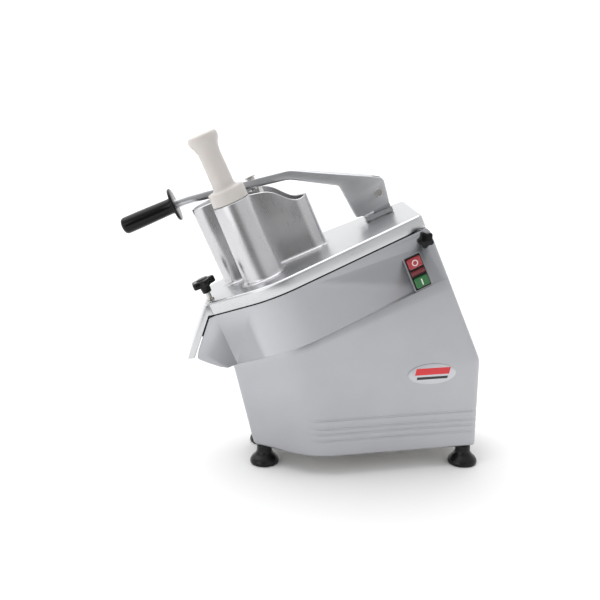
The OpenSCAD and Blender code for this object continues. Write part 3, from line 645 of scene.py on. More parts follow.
def node_mesh(node: bpy.types.Object, into: Matrix) -> bmesh.types.BMesh:
    """Copy a part's own solid, merged and with its flat faces whole.

    Args:
        node: The part.
        into: The frame that the copy is given in.

    Returns:
        The copy, in millimetres of that frame.
    """
    bm = bmesh.new()
    bm.from_mesh(node.data)
    bmesh.ops.transform(bm, matrix=into.inverted(), verts=bm.verts)
    bmesh.ops.remove_doubles(bm, verts=bm.verts, dist=5e-3)
    bmesh.ops.dissolve_limit(bm, angle_limit=math.radians(0.6), verts=bm.verts, edges=bm.edges)
    return bm


def piece(
    name: str,
    bm: bmesh.types.BMesh,
    place: Matrix,
    finish: Finish,
    body: Body,
    stands_for: Sequence[str] = (),
    crease: float = 32,
) -> bpy.types.Object:
    """Make a finished piece of a mesh.

    Args:
        name: The piece's name.
        bm: Its mesh, in millimetres of its own frame.
        place: That frame.
        finish: Its surface.
        body: The body that it rides on.
        stands_for: The parts that it replaces.
        crease: Degrees above which an edge stays sharp in the shading.

    Returns:
        The piece's object, at the origin, with its place in its mesh.
    """
    moved(bm, place)
    obj = as_object(bm, name)
    obj.data.shade_smooth()
    obj.data.set_sharp_from_angle(angle=math.radians(crease))
    obj.data.materials.append(finish.material())
    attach(obj, body.value)
    if stands_for:
        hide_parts(*stands_for)
    LOG.info("%s: %d faces on %s", name, len(obj.data.polygons), body.value)
    return obj


# ---------------------------------------------------------------------------------------------
# Repeated pieces
# ---------------------------------------------------------------------------------------------


class RoundPattern:
    """A Geometry Nodes tree that sets copies of its own mesh round a circle."""

    NAME = "copies_round_a_circle"

    def __init__(self) -> None:
        """Build the tree."""
        self.tree = bpy.data.node_groups.new(self.NAME, "GeometryNodeTree")
        face = self.tree.interface
        face.new_socket("Geometry", in_out="INPUT", socket_type="NodeSocketGeometry")
        self.sockets = {
            "Copies": face.new_socket("Copies", in_out="INPUT", socket_type="NodeSocketInt"),
            "Circle radius": face.new_socket("Circle radius", in_out="INPUT", socket_type="NodeSocketFloat"),
            "First angle": face.new_socket("First angle", in_out="INPUT", socket_type="NodeSocketFloat"),
            "Finish": face.new_socket("Finish", in_out="INPUT", socket_type="NodeSocketMaterial"),
        }
        face.new_socket("Geometry", in_out="OUTPUT", socket_type="NodeSocketGeometry")
        self._fill()

    def _fill(self) -> None:
        """Add the tree's nodes."""
        tree = self.tree
        given = add(tree, "NodeGroupInput").outputs
        circle = add(
            tree, "GeometryNodeMeshCircle", {"Vertices": given["Copies"], "Radius": given["Circle radius"]}
        ).outputs[0]
        index = add(tree, "GeometryNodeInputIndex").outputs[0]
        step = add(tree, "ShaderNodeMath", {0: math.tau, 1: given["Copies"]}, operation="DIVIDE").outputs[0]
        angle = add(tree, "ShaderNodeMath", {0: index, 1: step}, operation="MULTIPLY").outputs[0]
        spin = add(tree, "ShaderNodeCombineXYZ", {"Z": angle}).outputs[0]
        copies = add(
            tree, "GeometryNodeInstanceOnPoints", {"Points": circle, "Instance": given["Geometry"], "Rotation": spin}
        ).outputs[0]
        first = add(tree, "ShaderNodeCombineXYZ", {"Z": given["First angle"]}).outputs[0]
        turned = add(tree, "GeometryNodeTransform", {"Geometry": copies, "Rotation": first}).outputs[0]
        real = add(tree, "GeometryNodeRealizeInstances", {"Geometry": turned}).outputs[0]
        dressed = add(tree, "GeometryNodeSetMaterial", {"Geometry": real, "Material": given["Finish"]}).outputs[0]
        add(tree, "NodeGroupOutput", {"Geometry": dressed})

    def repeat(
        self, one: bmesh.types.BMesh, copies: int, radius: float, finish: Finish, first: float = 0.0
    ) -> bmesh.types.BMesh:
        """Repeat a mesh round a circle.

        Args:
            one: The mesh, standing on the circle's centre.
            copies: How many.
            radius: The circle's radius.
            finish: Its surface.
            first: Degrees to the first copy.

        Returns:
            All copies as one mesh.
        """
        obj = as_object(one, "one_of_many")
        pattern = obj.modifiers.new("pattern", "NODES")
        pattern.node_group = self.tree
        pattern[self.sockets["Copies"].identifier] = copies
        pattern[self.sockets["Circle radius"].identifier] = float(radius)
        pattern[self.sockets["First angle"].identifier] = math.radians(first)
        pattern[self.sockets["Finish"].identifier] = finish.material()
        bpy.context.view_layer.update()
        return as_mesh(obj)


# ---------------------------------------------------------------------------------------------
# The frame and the shared plan
# ---------------------------------------------------------------------------------------------


@dataclass
class Frames:
    """The machine's two frames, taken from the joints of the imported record."""

    record: dict
    slope: Matrix = field(init=False)
    ground: Matrix = field(init=False)
    tilt: float = field(init=False)
    top: Vector = field(init=False)

    def __post_init__(self) -> None:
        """Read the spindle's place and direction."""
        spin = next(j for j in self.record["behaviour"]["joints"] if j["name"] == "disc_spin")
        self.top = Vector(spin["pos_m"])
        self.tilt = math.atan2(-spin["axis"][0], spin["axis"][2])
        size = Matrix.Scale(MM, 4)
        self.slope = Matrix.Translation(self.top) @ Matrix.Rotation(-self.tilt, 4, "Y") @ size
        self.ground = Matrix.Translation((self.top.x, 0, 0)) @ size

    def to_ground(self, point: Vector) -> Vector:
        """Turn a point of the slope frame into one of the ground frame, both in millimetres."""
        return self.ground.inverted() @ (self.slope @ point)


@dataclass(frozen=True)
class HousingPlan:
    """The plan that the lid and both housings share, in the slope frame."""

    tub_radius: float = 112
    front_reach: float = 121
    front_half: float = 60
    front_corner: float = 10
    rear_half: float = 76
    rear_corner: float = 8
    lid_rear: float = 220
    rear_lip: float = 3.5
    wall: float = 4.5
    lid_depth: float = 19
    lid_plate: float = 6
    seam_v: float = -102

    @property
    def rear_y(self) -> float:
        """How far out the centre of a rear corner lies."""
        return self.rear_half - 0.85 * self.rear_corner

    @property
    def cheek_half(self) -> float:
        """Half the width across the sides of the chute and the apron."""
        return self.front_half + 0.4 * self.front_corner

    @property
    def taper(self) -> float:
        """The angle at which the flat sides close in towards the back."""
        reach = self.lid_rear + self.rear_lip - self.rear_corner
        apart = Vector((reach, self.rear_y)).length
        return math.asin((self.tub_radius - self.rear_corner) / apart) - math.atan2(self.rear_y, reach)

    def side(self, u: float) -> float:
        """How far out the flat side is, at a distance up the slope."""
        return self.tub_radius / math.cos(self.taper) - u * math.tan(self.taper)

    def outline(self, rear: float, fine: int = 1) -> Outline:
        """Draw the plan.

        Args:
            rear: How far back it reaches.
            fine: How much finer than usual its arcs are.

        Returns:
            The outline, from the near front corner round.
        """
        nose_x = -self.front_reach + self.front_corner
        nose_y = self.front_half - 0.6 * self.front_corner
        tail_x = rear - self.rear_corner
        return Outline(
            (
                Corner(nose_x, -nose_y, self.front_corner, 6 * fine, 6),
                Corner(0, 0, self.tub_radius, 24 * fine, 24),
                Corner(tail_x, -self.rear_y, self.rear_corner, 7 * fine, 16),
                Corner(tail_x, self.rear_y, self.rear_corner, 7 * fine, 24),
                Corner(0, 0, self.tub_radius, 24 * fine, 6),
                Corner(nose_x, nose_y, self.front_corner, 6 * fine, 12),
            )
        )


# ---------------------------------------------------------------------------------------------
# Castings of the machine
# ---------------------------------------------------------------------------------------------


@dataclass
class BaseCasting:
    """The drafted base: one shell from the seam down to the bottom edge, with cast lines."""

    frames: Frames
    plan: HousingPlan
    foot_height: float = 31.5
    front: float = -42
    rear: float = 301
    flank_radius: float = 100
    flank_x: float = 69
    front_half: float = 47
    rear_half: float = 71
    front_corner: float = 14
    rear_corner: float = 12
    knee_height: float = 170.9
    knee_round: float = 7
    edge_round: float = 4
    seam_round: float = 1.0
    lines_at: tuple[float, ...] = (57, 68, 77, 91)
    line_depth: float = 0.65
    line_half: float = 2.4
    lines_from: float = 34
    gland_back: float = 60
    gland_height: float = 45

    def _bottom(self) -> Outline:
        """The outline of the bottom edge."""
        tail = self.rear_half - 10
        return Outline(
            (
                Corner(self.front + 14, -(self.front_half - 9), self.front_corner, 6, 6),
                Corner(self.flank_x, 0, self.flank_radius, 24, 24),
                Corner(self.rear - 12, -tail, self.rear_corner, 7, 16),
                Corner(self.rear - 12, tail, self.rear_corner, 7, 24),
                Corner(self.flank_x, 0, self.flank_radius, 24, 6),
                Corner(self.front + 14, self.front_half - 9, self.front_corner, 6, 12),
            )
        )

    def _knee(self) -> Outline:
        """The outline at the knee of the back; only its rear corners matter."""
        half = (self.plan.rear_half + self.rear_half) / 2 - 10
        first, flank, _, _, flank_far, last = self._bottom().corners
        tail = [Corner(self.rear - 12, s * half, self.rear_corner, 7, n) for s, n in ((-1, 16), (1, 24))]
        return Outline((first, flank, *tail, flank_far, last))

    def _columns(self, inset: float) -> list[tuple[Vector, Vector, Vector, Vector]]:
        """Find the top, knee and bottom points of every column.

        Args:
            inset: How far inside the casting's outer face.

        Returns:
            Top, middle and bottom point and the outward direction, for each column.
        """
        reach = self.plan.lid_rear + self.plan.rear_lip
        tops = self.plan.outline(reach).spots(inset)
        feet = self._bottom().spots(inset)
        knees = self._knee().spots(inset)
        ends = []
        for top, foot in zip(tops, feet):
            high = self.frames.to_ground(Vector((*top.place, self.plan.seam_v)))
            ends.append((high, Vector((*foot.place, self.foot_height)), Vector((*foot.out, 0))))
        back = self.frames.to_ground(Vector((reach, 0, self.plan.seam_v)))
        share = (back.z - self.knee_height) / (back.z - self.foot_height)
        jut = [Vector((*k.place, self.knee_height)) - e[0].lerp(e[1], share) for k, e in zip(knees, ends)]
        near = next(i for i, s in enumerate(feet) if s.corner == 2)
        far = max(i for i, s in enumerate(feet) if s.corner == 3 and s.travel == 0)
        out = []
        for i, (spot, (high, low, facing)) in enumerate(zip(feet, ends)):
            push = Vector()
            if spot.corner == 1 and spot.travel:
                push = jut[near] * spot.travel
            elif spot.corner == 2 or (spot.corner == 3 and not spot.travel):
                push = jut[i]
            elif spot.corner == 3:
                push = jut[far] * (1 - spot.travel)
            out.append((high, high.lerp(low, share) + push, low, facing))
        return out

    def _line(self, height: float, x: float) -> float:
        """How deep the cast lines go at a height and a distance back."""
        fade = smooth((x - self.lines_from) / 26)
        near = min(abs(height - z) for z in self.lines_at)
        return self.line_depth * fade * smooth(1 - near / self.line_half)

    def _upper_rows(self, inset: float, drops: Sequence[float], shares: Sequence[float]) -> list[list[Vector]]:
        """Rows from the seam to the knee, at set drops below the seam and then at set shares."""
        columns = self._columns(inset)
        rows = []
        for drop in drops:
            rows.append([h + (m - h).normalized() * drop for h, m, _, _ in columns])
        for share in shares:
            rows.append([self._bend(h, m, b, share) for h, m, b, _ in columns])
        return rows

    def _bend(self, high: Vector, knee: Vector, low: Vector, share: float) -> Vector:
        """A point on the upper leg of a column, the knee itself rounded."""
        before = knee + (high - knee).normalized() * self.knee_round
        after = knee + (low - knee).normalized() * self.knee_round
        if share <= 0.8:
            return high.lerp(before, share / 0.8)
        t = (share - 0.8) / 0.2
        return before * (1 - t) ** 2 + knee * (2 * t * (1 - t)) + after * t**2

    def _lower_rows(self, heights: Sequence[float], insets: Sequence[float]) -> list[list[Vector]]:
        """Rows below the knee at set heights, with the cast lines."""
        rows = []
        for height, inset in zip(heights, insets):
            row = []
            for _, knee, low, facing in self._columns(inset):
                start = knee + (low - knee).normalized() * self.knee_round
                share = (start.z - height) / (start.z - low.z)
                point = start.lerp(low, share)
                row.append(point - facing * self._line(height, point.x))
            rows.append(row)
        return rows

    def _shell(self) -> bmesh.types.BMesh:
        """Loft the casting: down the outside, in under the edge and up the inside."""
        wall = self.plan.wall
        rounds = [(0.0, 1.0), (0.3, 0.3), (1.0, 0.0)]
        rows = [self._upper_rows(i * self.seam_round, [d * self.seam_round], [])[0] for d, i in rounds]
        rows += self._upper_rows(0.0, [], [0.12, 0.3, 0.5, 0.7, 0.8, 0.84, 0.88, 0.92, 0.96, 1.0])
        steps = [-1.0, -0.65, -0.3, 0.0, 0.3, 0.65, 1.0]
        heights = sorted({z + s * self.line_half for z in self.lines_at for s in steps} | {96.0, 84.0, 50.0, 42.0})
        heights = heights[::-1]
        rows += self._lower_rows(heights, [0.0] * len(heights))
        arc = [math.radians(a) for a in range(0, 91, 15)]
        low = [self.foot_height + self.edge_round * (1 - math.sin(a)) for a in arc]
        rows += self._lower_rows(low, [self.edge_round * (1 - math.cos(a)) for a in arc])
        rows += self._lower_rows([self.foot_height, 96.0], [wall, wall])
        rows += self._upper_rows(wall, [], [1.0, 0.9, 0.8, 0.4])
        rows += self._upper_rows(wall, [0.0], [])
        return loft(rows, tube=True)

    def build(self) -> bpy.types.Object:
        """Build the casting, with the hole for its cable gland."""
        hole = moved(rod(9.1, -120, -40), along_y(self.rear - self.gland_back, self.foot_height + self.gland_height))
        shell = combine(self._shell(), Cut.AWAY, hole)
        return piece("base_casting", shell, self.frames.ground, CAST_SATIN, Body.MACHINE, ["base_housing"], 28)


@dataclass
class UpperCasting:
    """The tub with its chute and rear pocket: the part's own solid with every edge broken."""

    frames: Frames
    nodes: dict[str, bpy.types.Object]
    edge: float = 0.9

    def build(self) -> bpy.types.Object:
        """Round the edges of the casting."""
        bm = node_mesh(self.nodes["upper_housing"], self.frames.slope)
        soften(bm, self.edge)
        return piece("tub_casting", bm, self.frames.slope, CAST_SATIN, Body.MACHINE, ["upper_housing"])


@dataclass
class BellFoot:
    """One of four moulded bell feet."""

    frames: Frames
    width: float = 45
    neck: float = 23
    height: float = 31.45
    sites: dict[str, tuple[float, float]] = field(
        default_factory=lambda: {
            "foot_front_near": (-26, -42),
            "foot_front_far": (-26, 42),
            "foot_rear_near": (283, -61.5),
            "foot_rear_far": (283, 61.5),
        }
    )

    def _profile(self) -> list[tuple[float, float]]:
        """The bell, from the screw hole underneath over the outside to the hole on top."""
        r, n = self.width / 2, self.neck / 2
        bell = curve_through(
            [(r - 0.7, 1), (r, 3.4), (r - 0.3, 6), (r - 1.8, 9), (r - 4.6, 12.2), (r - 7.8, 15.4), (n + 1.1, 18.6),
             (n + 0.2, 22), (n, self.height - 1.4)], 4
        )
        return [(8, 0.6), (8.4, 0), (r - 3, 0), *bell, (n - 0.8, self.height), (4.1, self.height), (4.1, 9), (8, 9)]

    def build(self) -> None:
        """Set the four feet."""
        for name, (x, y) in self.sites.items():
            bm = moved(lathe(self._profile()), Matrix.Translation((x, y, 0)))
            piece(f"bell_{name}", bm, self.frames.ground, RUBBER, Body.MACHINE, [name], 40)


@dataclass
class BadgePlate:
    """A blank oval plate with two printed stripes, on the near flank."""

    frames: Frames
    base: bpy.types.Object
    x: float = 225
    z: float = 155
    half_width: float = 37.5
    half_height: float = 16
    thick: float = 0.8

    def _seat(self) -> Matrix:
        """Find where the flank is, and which way it faces, as a frame for the plate."""
        eye = self.frames.ground @ Vector((self.x, -300, self.z))
        _, place, facing, _ = self.base.ray_cast(eye, Vector((0, 1, 0)))
        across = Vector((0, 0, 1)).cross(facing).normalized()
        turn = Matrix((across, facing.cross(across), facing)).transposed().to_4x4()
        return Matrix.Translation(place) @ turn @ Matrix.Scale(MM, 4)

    def _oval(self, a: float, b: float, low: float, high: float) -> bmesh.types.BMesh:
        """An oval slab with a soft upper edge."""
        rows = []
        for inset, height in ((0, low), (0, high - 0.3), (0.1, high - 0.08), (0.35, high)):
            rows.append(
                [
                    Vector(((a - inset) * math.cos(t), (b - inset) * math.sin(t), height))
                    for t in (math.tau * k / 72 for k in range(72))
                ]
            )
        return loft(rows, cap=True)

    def build(self) -> None:
        """Lay the plate and its stripes on the flank."""
        seat = self._seat()
        plate = self._oval(self.half_width, self.half_height, -0.4, self.thick)
        piece("badge_oval", plate, seat, BADGE_PLATE, Body.MACHINE, ["badge_plate"])
        top = self.thick + 0.08
        red = prism([(-27, -1), (26.5, -1), (29, 9.5), (-24.5, 9.5)], self.thick - 0.1, top)
        piece("badge_stripe_upper", red, seat, BADGE_RED, Body.MACHINE)
        black = prism([(-24, -8), (24, -8), (25, -4), (-23, -4)], self.thick - 0.1, top)
        piece("badge_stripe_lower", black, seat, BADGE_BLACK, Body.MACHINE)


# ---------------------------------------------------------------------------------------------
# Push buttons
# ---------------------------------------------------------------------------------------------


@dataclass
class ButtonStation:
    """A stop and a start key with a pilot lens between them, in a raised frame."""

    frames: Frames
    plan: HousingPlan
    u: float = 183
    v: float = -74
    width: float = 28
    length: float = 54
    height: float = 4
    key_height: float = 3

    def _seat(self) -> Matrix:
        """The frame of the station: x along the wall, y up it, z out of it."""
        put = Matrix.Translation((self.u, -self.plan.side(self.u), self.v)) @ Matrix.Rotation(self.plan.taper, 4, "Z")
        return self.frames.slope @ put @ Matrix.Rotation(math.radians(90), 4, "X")

    @staticmethod
    def _pad(half_w: float, half_h: float, corner: float, rows: Sequence[tuple[float, float]]) -> bmesh.types.BMesh:
        """A solid of rounded rectangles.

        Args:
            half_w: Half its width.
            half_h: Half its height.
            corner: Its corner radius.
            rows: Inset and level of each rectangle.

        Returns:
            The capped solid.
        """
        x, y = half_w - corner, half_h - corner
        outline = Outline(tuple(Corner(a, b, corner, 6, 6) for a, b in ((-x, -y), (x, -y), (x, y), (-x, y))))
        return loft([outline.ring(inset, level) for inset, level in rows], cap=True)

    def _frame(self) -> bmesh.types.BMesh:
        """The raised frame, with a sunk floor and its windows."""
        h = self.height
        edge = [(1.7, 1.2), (1.7, h - 1.1), (1.9, h - 0.45), (2.2, h - 0.08), (2.5, h)]
        frame = self._pad(self.width / 2, self.length / 2, 3, edge)
        sunk = self._pad(self.width / 2 - 2.9, self.length / 2 - 2.9, 0.9, [(0.2, h - 1.3), (0, h - 1.1), (0, h + 1)])
        windows = [self._pad(10.9, 8.0, 1.2, [(0, -9), (0, 9)]) for _ in range(2)]
        moved(windows[0], Matrix.Translation((0, 15, 0)))
        moved(windows[1], Matrix.Translation((0, -15, 0)))
        lamp = self._pad(11.0, 4.0, 0.8, [(0, -9), (0, 9)])
        return combine(frame, Cut.AWAY, sunk, *windows, lamp)

    def _flange(self) -> bmesh.types.BMesh:
        """The grey flange that the frame stands on."""
        rows = [(0.1, -0.05), (0.1, 1.6), (0.3, 2.1), (0.8, 2.4)]
        hole = self._pad(self.width / 2 - 3.4, self.length / 2 - 3.4, 1, [(0, -9), (0, 9)])
        return combine(self._pad(self.width / 2, self.length / 2, 3, rows), Cut.AWAY, hole)

    def _key(self, y: float) -> bmesh.types.BMesh:
        """A key with a soft crown."""
        top = self.height + self.key_height
        rows = [(0.0, -4.0), (0.0, top - 1.6), (0.25, top - 0.9), (0.8, top - 0.5), (2.2, top - 0.35)]
        return moved(self._pad(10.6, 7.6, 1.9, rows), Matrix.Translation((0, y, 0)))

    def _ring_mark(self) -> bmesh.types.BMesh:
        """The ring on the stop key."""
        top = self.height + self.key_height
        ring = [(3.2, top - 0.6), (4.7, top - 0.6), (4.7, top - 0.1), (4.6, top), (3.3, top), (3.2, top - 0.1)]
        return moved(lathe(ring, 40), Matrix.Translation((0, 15, 0)))

    def _bar_mark(self) -> bmesh.types.BMesh:
        """The bar on the start key."""
        top = self.height + self.key_height
        bar = self._pad(0.95, 4.8, 0.7, [(0, top - 0.6), (0, top - 0.1), (0.1, top)])
        return moved(bar, Matrix.Translation((0, -15, 0)))

    def build(self) -> None:
        """Build the frame, the keys and the lens."""
        seat = self._seat()
        piece("switch_frame", self._frame(), seat, POLYAMIDE, Body.MACHINE, ["switch_bezel"])
        piece("switch_flange", self._flange(), seat, GREY_FRAME, Body.MACHINE)
        lens = self._pad(10.7, 3.7, 0.7, [(0, -2), (0, 4.2), (0.5, 4.8), (1.6, 5)])
        piece("pilot_lamp_lens", lens, seat, LENS, Body.MACHINE, ["pilot_lens"])
        piece("stop_key_cap", self._key(15), seat, KEY_RED, Body.STOP_KEY, ["stop_button"])
        piece("stop_key_ring", self._ring_mark(), seat, KEY_MARK_RED, Body.STOP_KEY)
        piece("start_key_cap", self._key(-15), seat, KEY_GREEN, Body.START_KEY, ["start_button"])
        piece("start_key_bar", self._bar_mark(), seat, KEY_MARK_GREEN, Body.START_KEY)


# ---------------------------------------------------------------------------------------------
# Lid, hopper and tube
# ---------------------------------------------------------------------------------------------


@dataclass
class FeedHopper:
    """The half-round hopper with its S-shaped rim, and the round tube that stands before it."""

    frames: Frames
    radius: float = 86
    shift: float = 4
    near_y: float = -6
    corner: float = 20
    wall: float = 4
    height: float = 127
    root: float = 6
    tube_u: float = -25
    tube_y: float = -43
    tube_bore: float = 49
    tube_height: float = 121
    tube_wall: float = 3.5
    rim: tuple[tuple[float, float], ...] = (
        (-17, 127), (-13, 121.5), (-2, 116), (12, 113.5), (26, 110), (37, 103.5), (46, 94), (54, 86), (61, 81.5),
        (68, 80), (75, 80.8), (84, 84),
    )

    def outline(self) -> Outline:
        """The plan of the hopper: two round corners and the big arc."""
        y = self.near_y + self.corner
        x = math.sqrt((self.radius - self.corner) ** 2 - y**2)
        return Outline(
            (
                Corner(-self.shift - x, y, self.corner, 14, 72),
                Corner(-self.shift + x, y, self.corner, 14, 1),
                Corner(-self.shift, 0, self.radius, 110, 1),
            )
        )

    def _rim_height(self, u: float) -> float:
        """The height of the rim at a place along the slope."""
        if u <= self.rim[0][0]:
            return self.rim[0][1]
        for (u0, h0), (u1, h1) in zip(self.rim, self.rim[1:]):
            if u <= u1:
                return h0 + (h1 - h0) * (u - u0) / (u1 - u0)
        return self.rim[-1][1]

    def _row(self, inset: float, below: Optional[float], level: float = 0.0) -> list[Vector]:
        """A row of the hopper's wall, below its rim or at a level."""
        rows = []
        for spot in self.outline().spots(inset):
            height = level if below is None else self._soft_rim(spot.place.x) - below
            rows.append(Vector((*spot.place, height)))
        return rows

    def _soft_rim(self, u: float) -> float:
        """The rim's height, averaged over a few millimetres so that it has no corners."""
        return sum(self._rim_height(u + d) for d in (-4, -2, 0, 2, 4)) / 5

    def _shell(self) -> bmesh.types.BMesh:
        """Loft the wall from its spread root over the rounded rim and down the inside."""
        rows = []
        for k in range(7):
            a = math.radians(90 * k / 6)
            rows.append(self._row(-self.root * (1 - math.sin(a)), None, 0.02 + self.root * (1 - math.cos(a))))
        for share in (0.3, 0.6):
            low, high = rows[6], self._row(0, 2)
            rows.append([a.lerp(b, share) for a, b in zip(low, high)])
        half = self.wall / 2
        for k in range(9):
            a = math.radians(180 * k / 8)
            rows.append(self._row(half * (1 - math.cos(a)), half * (1 - math.sin(a)) * 0.8))
        rows.append(self._row(self.wall, None, 0.02))
        return loft(rows, tube=True)

    def _tube(self) -> bmesh.types.BMesh:
        """Turn the tube, with a spread root and a rounded rim, around a full core."""
        r, h = self.tube_bore / 2 + self.tube_wall, self.tube_height
        root = [
            (r + 3 + self.root * (1 - math.sin(a)), 0.02 + self.root * (1 - math.cos(a)))
            for a in (math.radians(90 * k / 6) for k in range(7))
        ]
        top = [(r, h - 1.6), (r - 0.3, h - 0.8), (r - 0.9, h - 0.2), (r - 1.7, h)]
        turned = lathe([(0, 0.02), *root, *top, (0, h)], 96)
        return moved(turned, Matrix.Translation((self.tube_u, self.tube_y, 0)))

    def core(self, low: float, high: float, inset: Optional[float] = None) -> bmesh.types.BMesh:
        """The space inside the hopper, to cut with."""
        t = self.wall if inset is None else inset
        return loft([self.outline().ring(t, h) for h in (low, high)], cap=True)

    def bore(self, low: float, high: float) -> bmesh.types.BMesh:
        """The bore of the tube, to cut with."""
        return moved(rod(self.tube_bore / 2, low, high, 96), Matrix.Translation((self.tube_u, self.tube_y, 0)))

    def build(self) -> bpy.types.Object:
        """Join the tube to the hopper, and open both."""
        web = block(
            (self.tube_u - 12, self.tube_y + 14, 0.02), (self.tube_u + 12, self.near_y + 1, self.height - 16)
        )
        tube = combine(self._tube(), Cut.ADD, web)
        tube = combine(tube, Cut.AWAY, self.core(-5, 160, 0.5), self.bore(-5, 160))
        body = combine(self._shell(), Cut.ADD, tube)
        return piece("hopper_and_tube", body, self.frames.slope, HOPPER_POLISH, Body.LID, ["feed_hopper"], 34)


@dataclass
class Lid:
    """The polished lid with its skirt and the apron over the chute."""

    frames: Frames
    plan: HousingPlan
    hopper: FeedHopper
    top_round: float = 4.5
    apron_drop: float = 65
    stud_u: float = -112
    stud_y: float = -43
    stud_d: float = 7
    hinge_u: float = 210
    hinge_v: float = -33
    hinge_y: float = 46
    lug_half: float = 6

    def _plate(self) -> bmesh.types.BMesh:
        """The lid itself: skirt, rounded edge and plate."""
        outline = self.plan.outline(self.plan.lid_rear, 2)
        depth = -self.plan.lid_depth
        rows = [outline.ring(0.7, depth), outline.ring(0.2, depth + 0.2), outline.ring(0, depth + 0.8)]
        for k in range(7):
            a = math.radians(90 * k / 6)
            rows.append(outline.ring(self.top_round * (1 - math.cos(a)), self.top_round * (math.sin(a) - 1)))
        outer = loft(rows, cap=True)
        inner = loft([outline.ring(self.plan.wall, h) for h in (depth - 5, -self.plan.lid_plate)], cap=True)
        return combine(outer, Cut.AWAY, inner)

    def _apron(self) -> bmesh.types.BMesh:
        """The apron that closes the top of the chute."""
        f, d = -self.plan.front_reach, self.plan.lid_depth
        half = self.plan.cheek_half
        outside = [(f + 1.2, -1.5), (f - 0.6, -2.6), (f - 57, -65), (f - 48, -68.5), (f - 45.5, -66.2),
                   (f - 1.5, -17.2), (f + 6, -d), (f + 6, -1.5)]
        inside = [(f + 1, -7), (f - 70, -88), (f - 40, -95), (f + 1, -d - 5)]
        body = moved(prism(outside, -half, half), Matrix.Rotation(math.radians(90), 4, "X"))
        soften(body, 1.2, 3)
        hollow = moved(prism(inside, -half + 4, half - 4), Matrix.Rotation(math.radians(90), 4, "X"))
        return combine(body, Cut.AWAY, hollow)

    def _lug(self, y: float) -> bmesh.types.BMesh:
        """One hinge lug."""
        rise = -self.hinge_v - self.plan.lid_plate + 1
        barrel = [(8.3 * math.cos(a), 8.3 * math.sin(a)) for a in (math.radians(d) for d in range(250, 451, 12))]
        web = [*barrel, (-18, rise), (-42, rise), (-30, 8)]
        lug = moved(prism(web, -self.lug_half, self.lug_half), Matrix.Rotation(math.radians(90), 4, "X"))
        soften(lug, 0.6)
        return moved(lug, Matrix.Translation((self.hinge_u, y, self.hinge_v)))

    def build(self) -> bpy.types.Object:
        """Join the lid's members and cut its holes."""
        boss = moved(rod(7.5, -self.plan.lid_depth, -1), Matrix.Translation((self.stud_u, self.stud_y, 0)))
        body = combine(self._plate(), Cut.ADD, self._apron(), boss, self._lug(-self.hinge_y), self._lug(self.hinge_y))
        stud = moved(rod(self.stud_d / 2 + 0.06, -60, 10), Matrix.Translation((self.stud_u, self.stud_y, 0)))
        slot = block(
            (self.stud_u - 30, self.stud_y - 2.2, -60), (self.stud_u, self.stud_y + 2.2, 20)
        )
        pin = moved(rod(4.56, -100, 100), along_y(self.hinge_u, self.hinge_v))
        body = combine(body, Cut.AWAY, self.hopper.core(-30, 20), self.hopper.bore(-30, 20), stud, slot, pin)
        return piece("lid_casting", body, self.frames.slope, LID_POLISH, Body.LID, ["lid"], 34)


# ---------------------------------------------------------------------------------------------
# Lever, pusher and knobs
# ---------------------------------------------------------------------------------------------


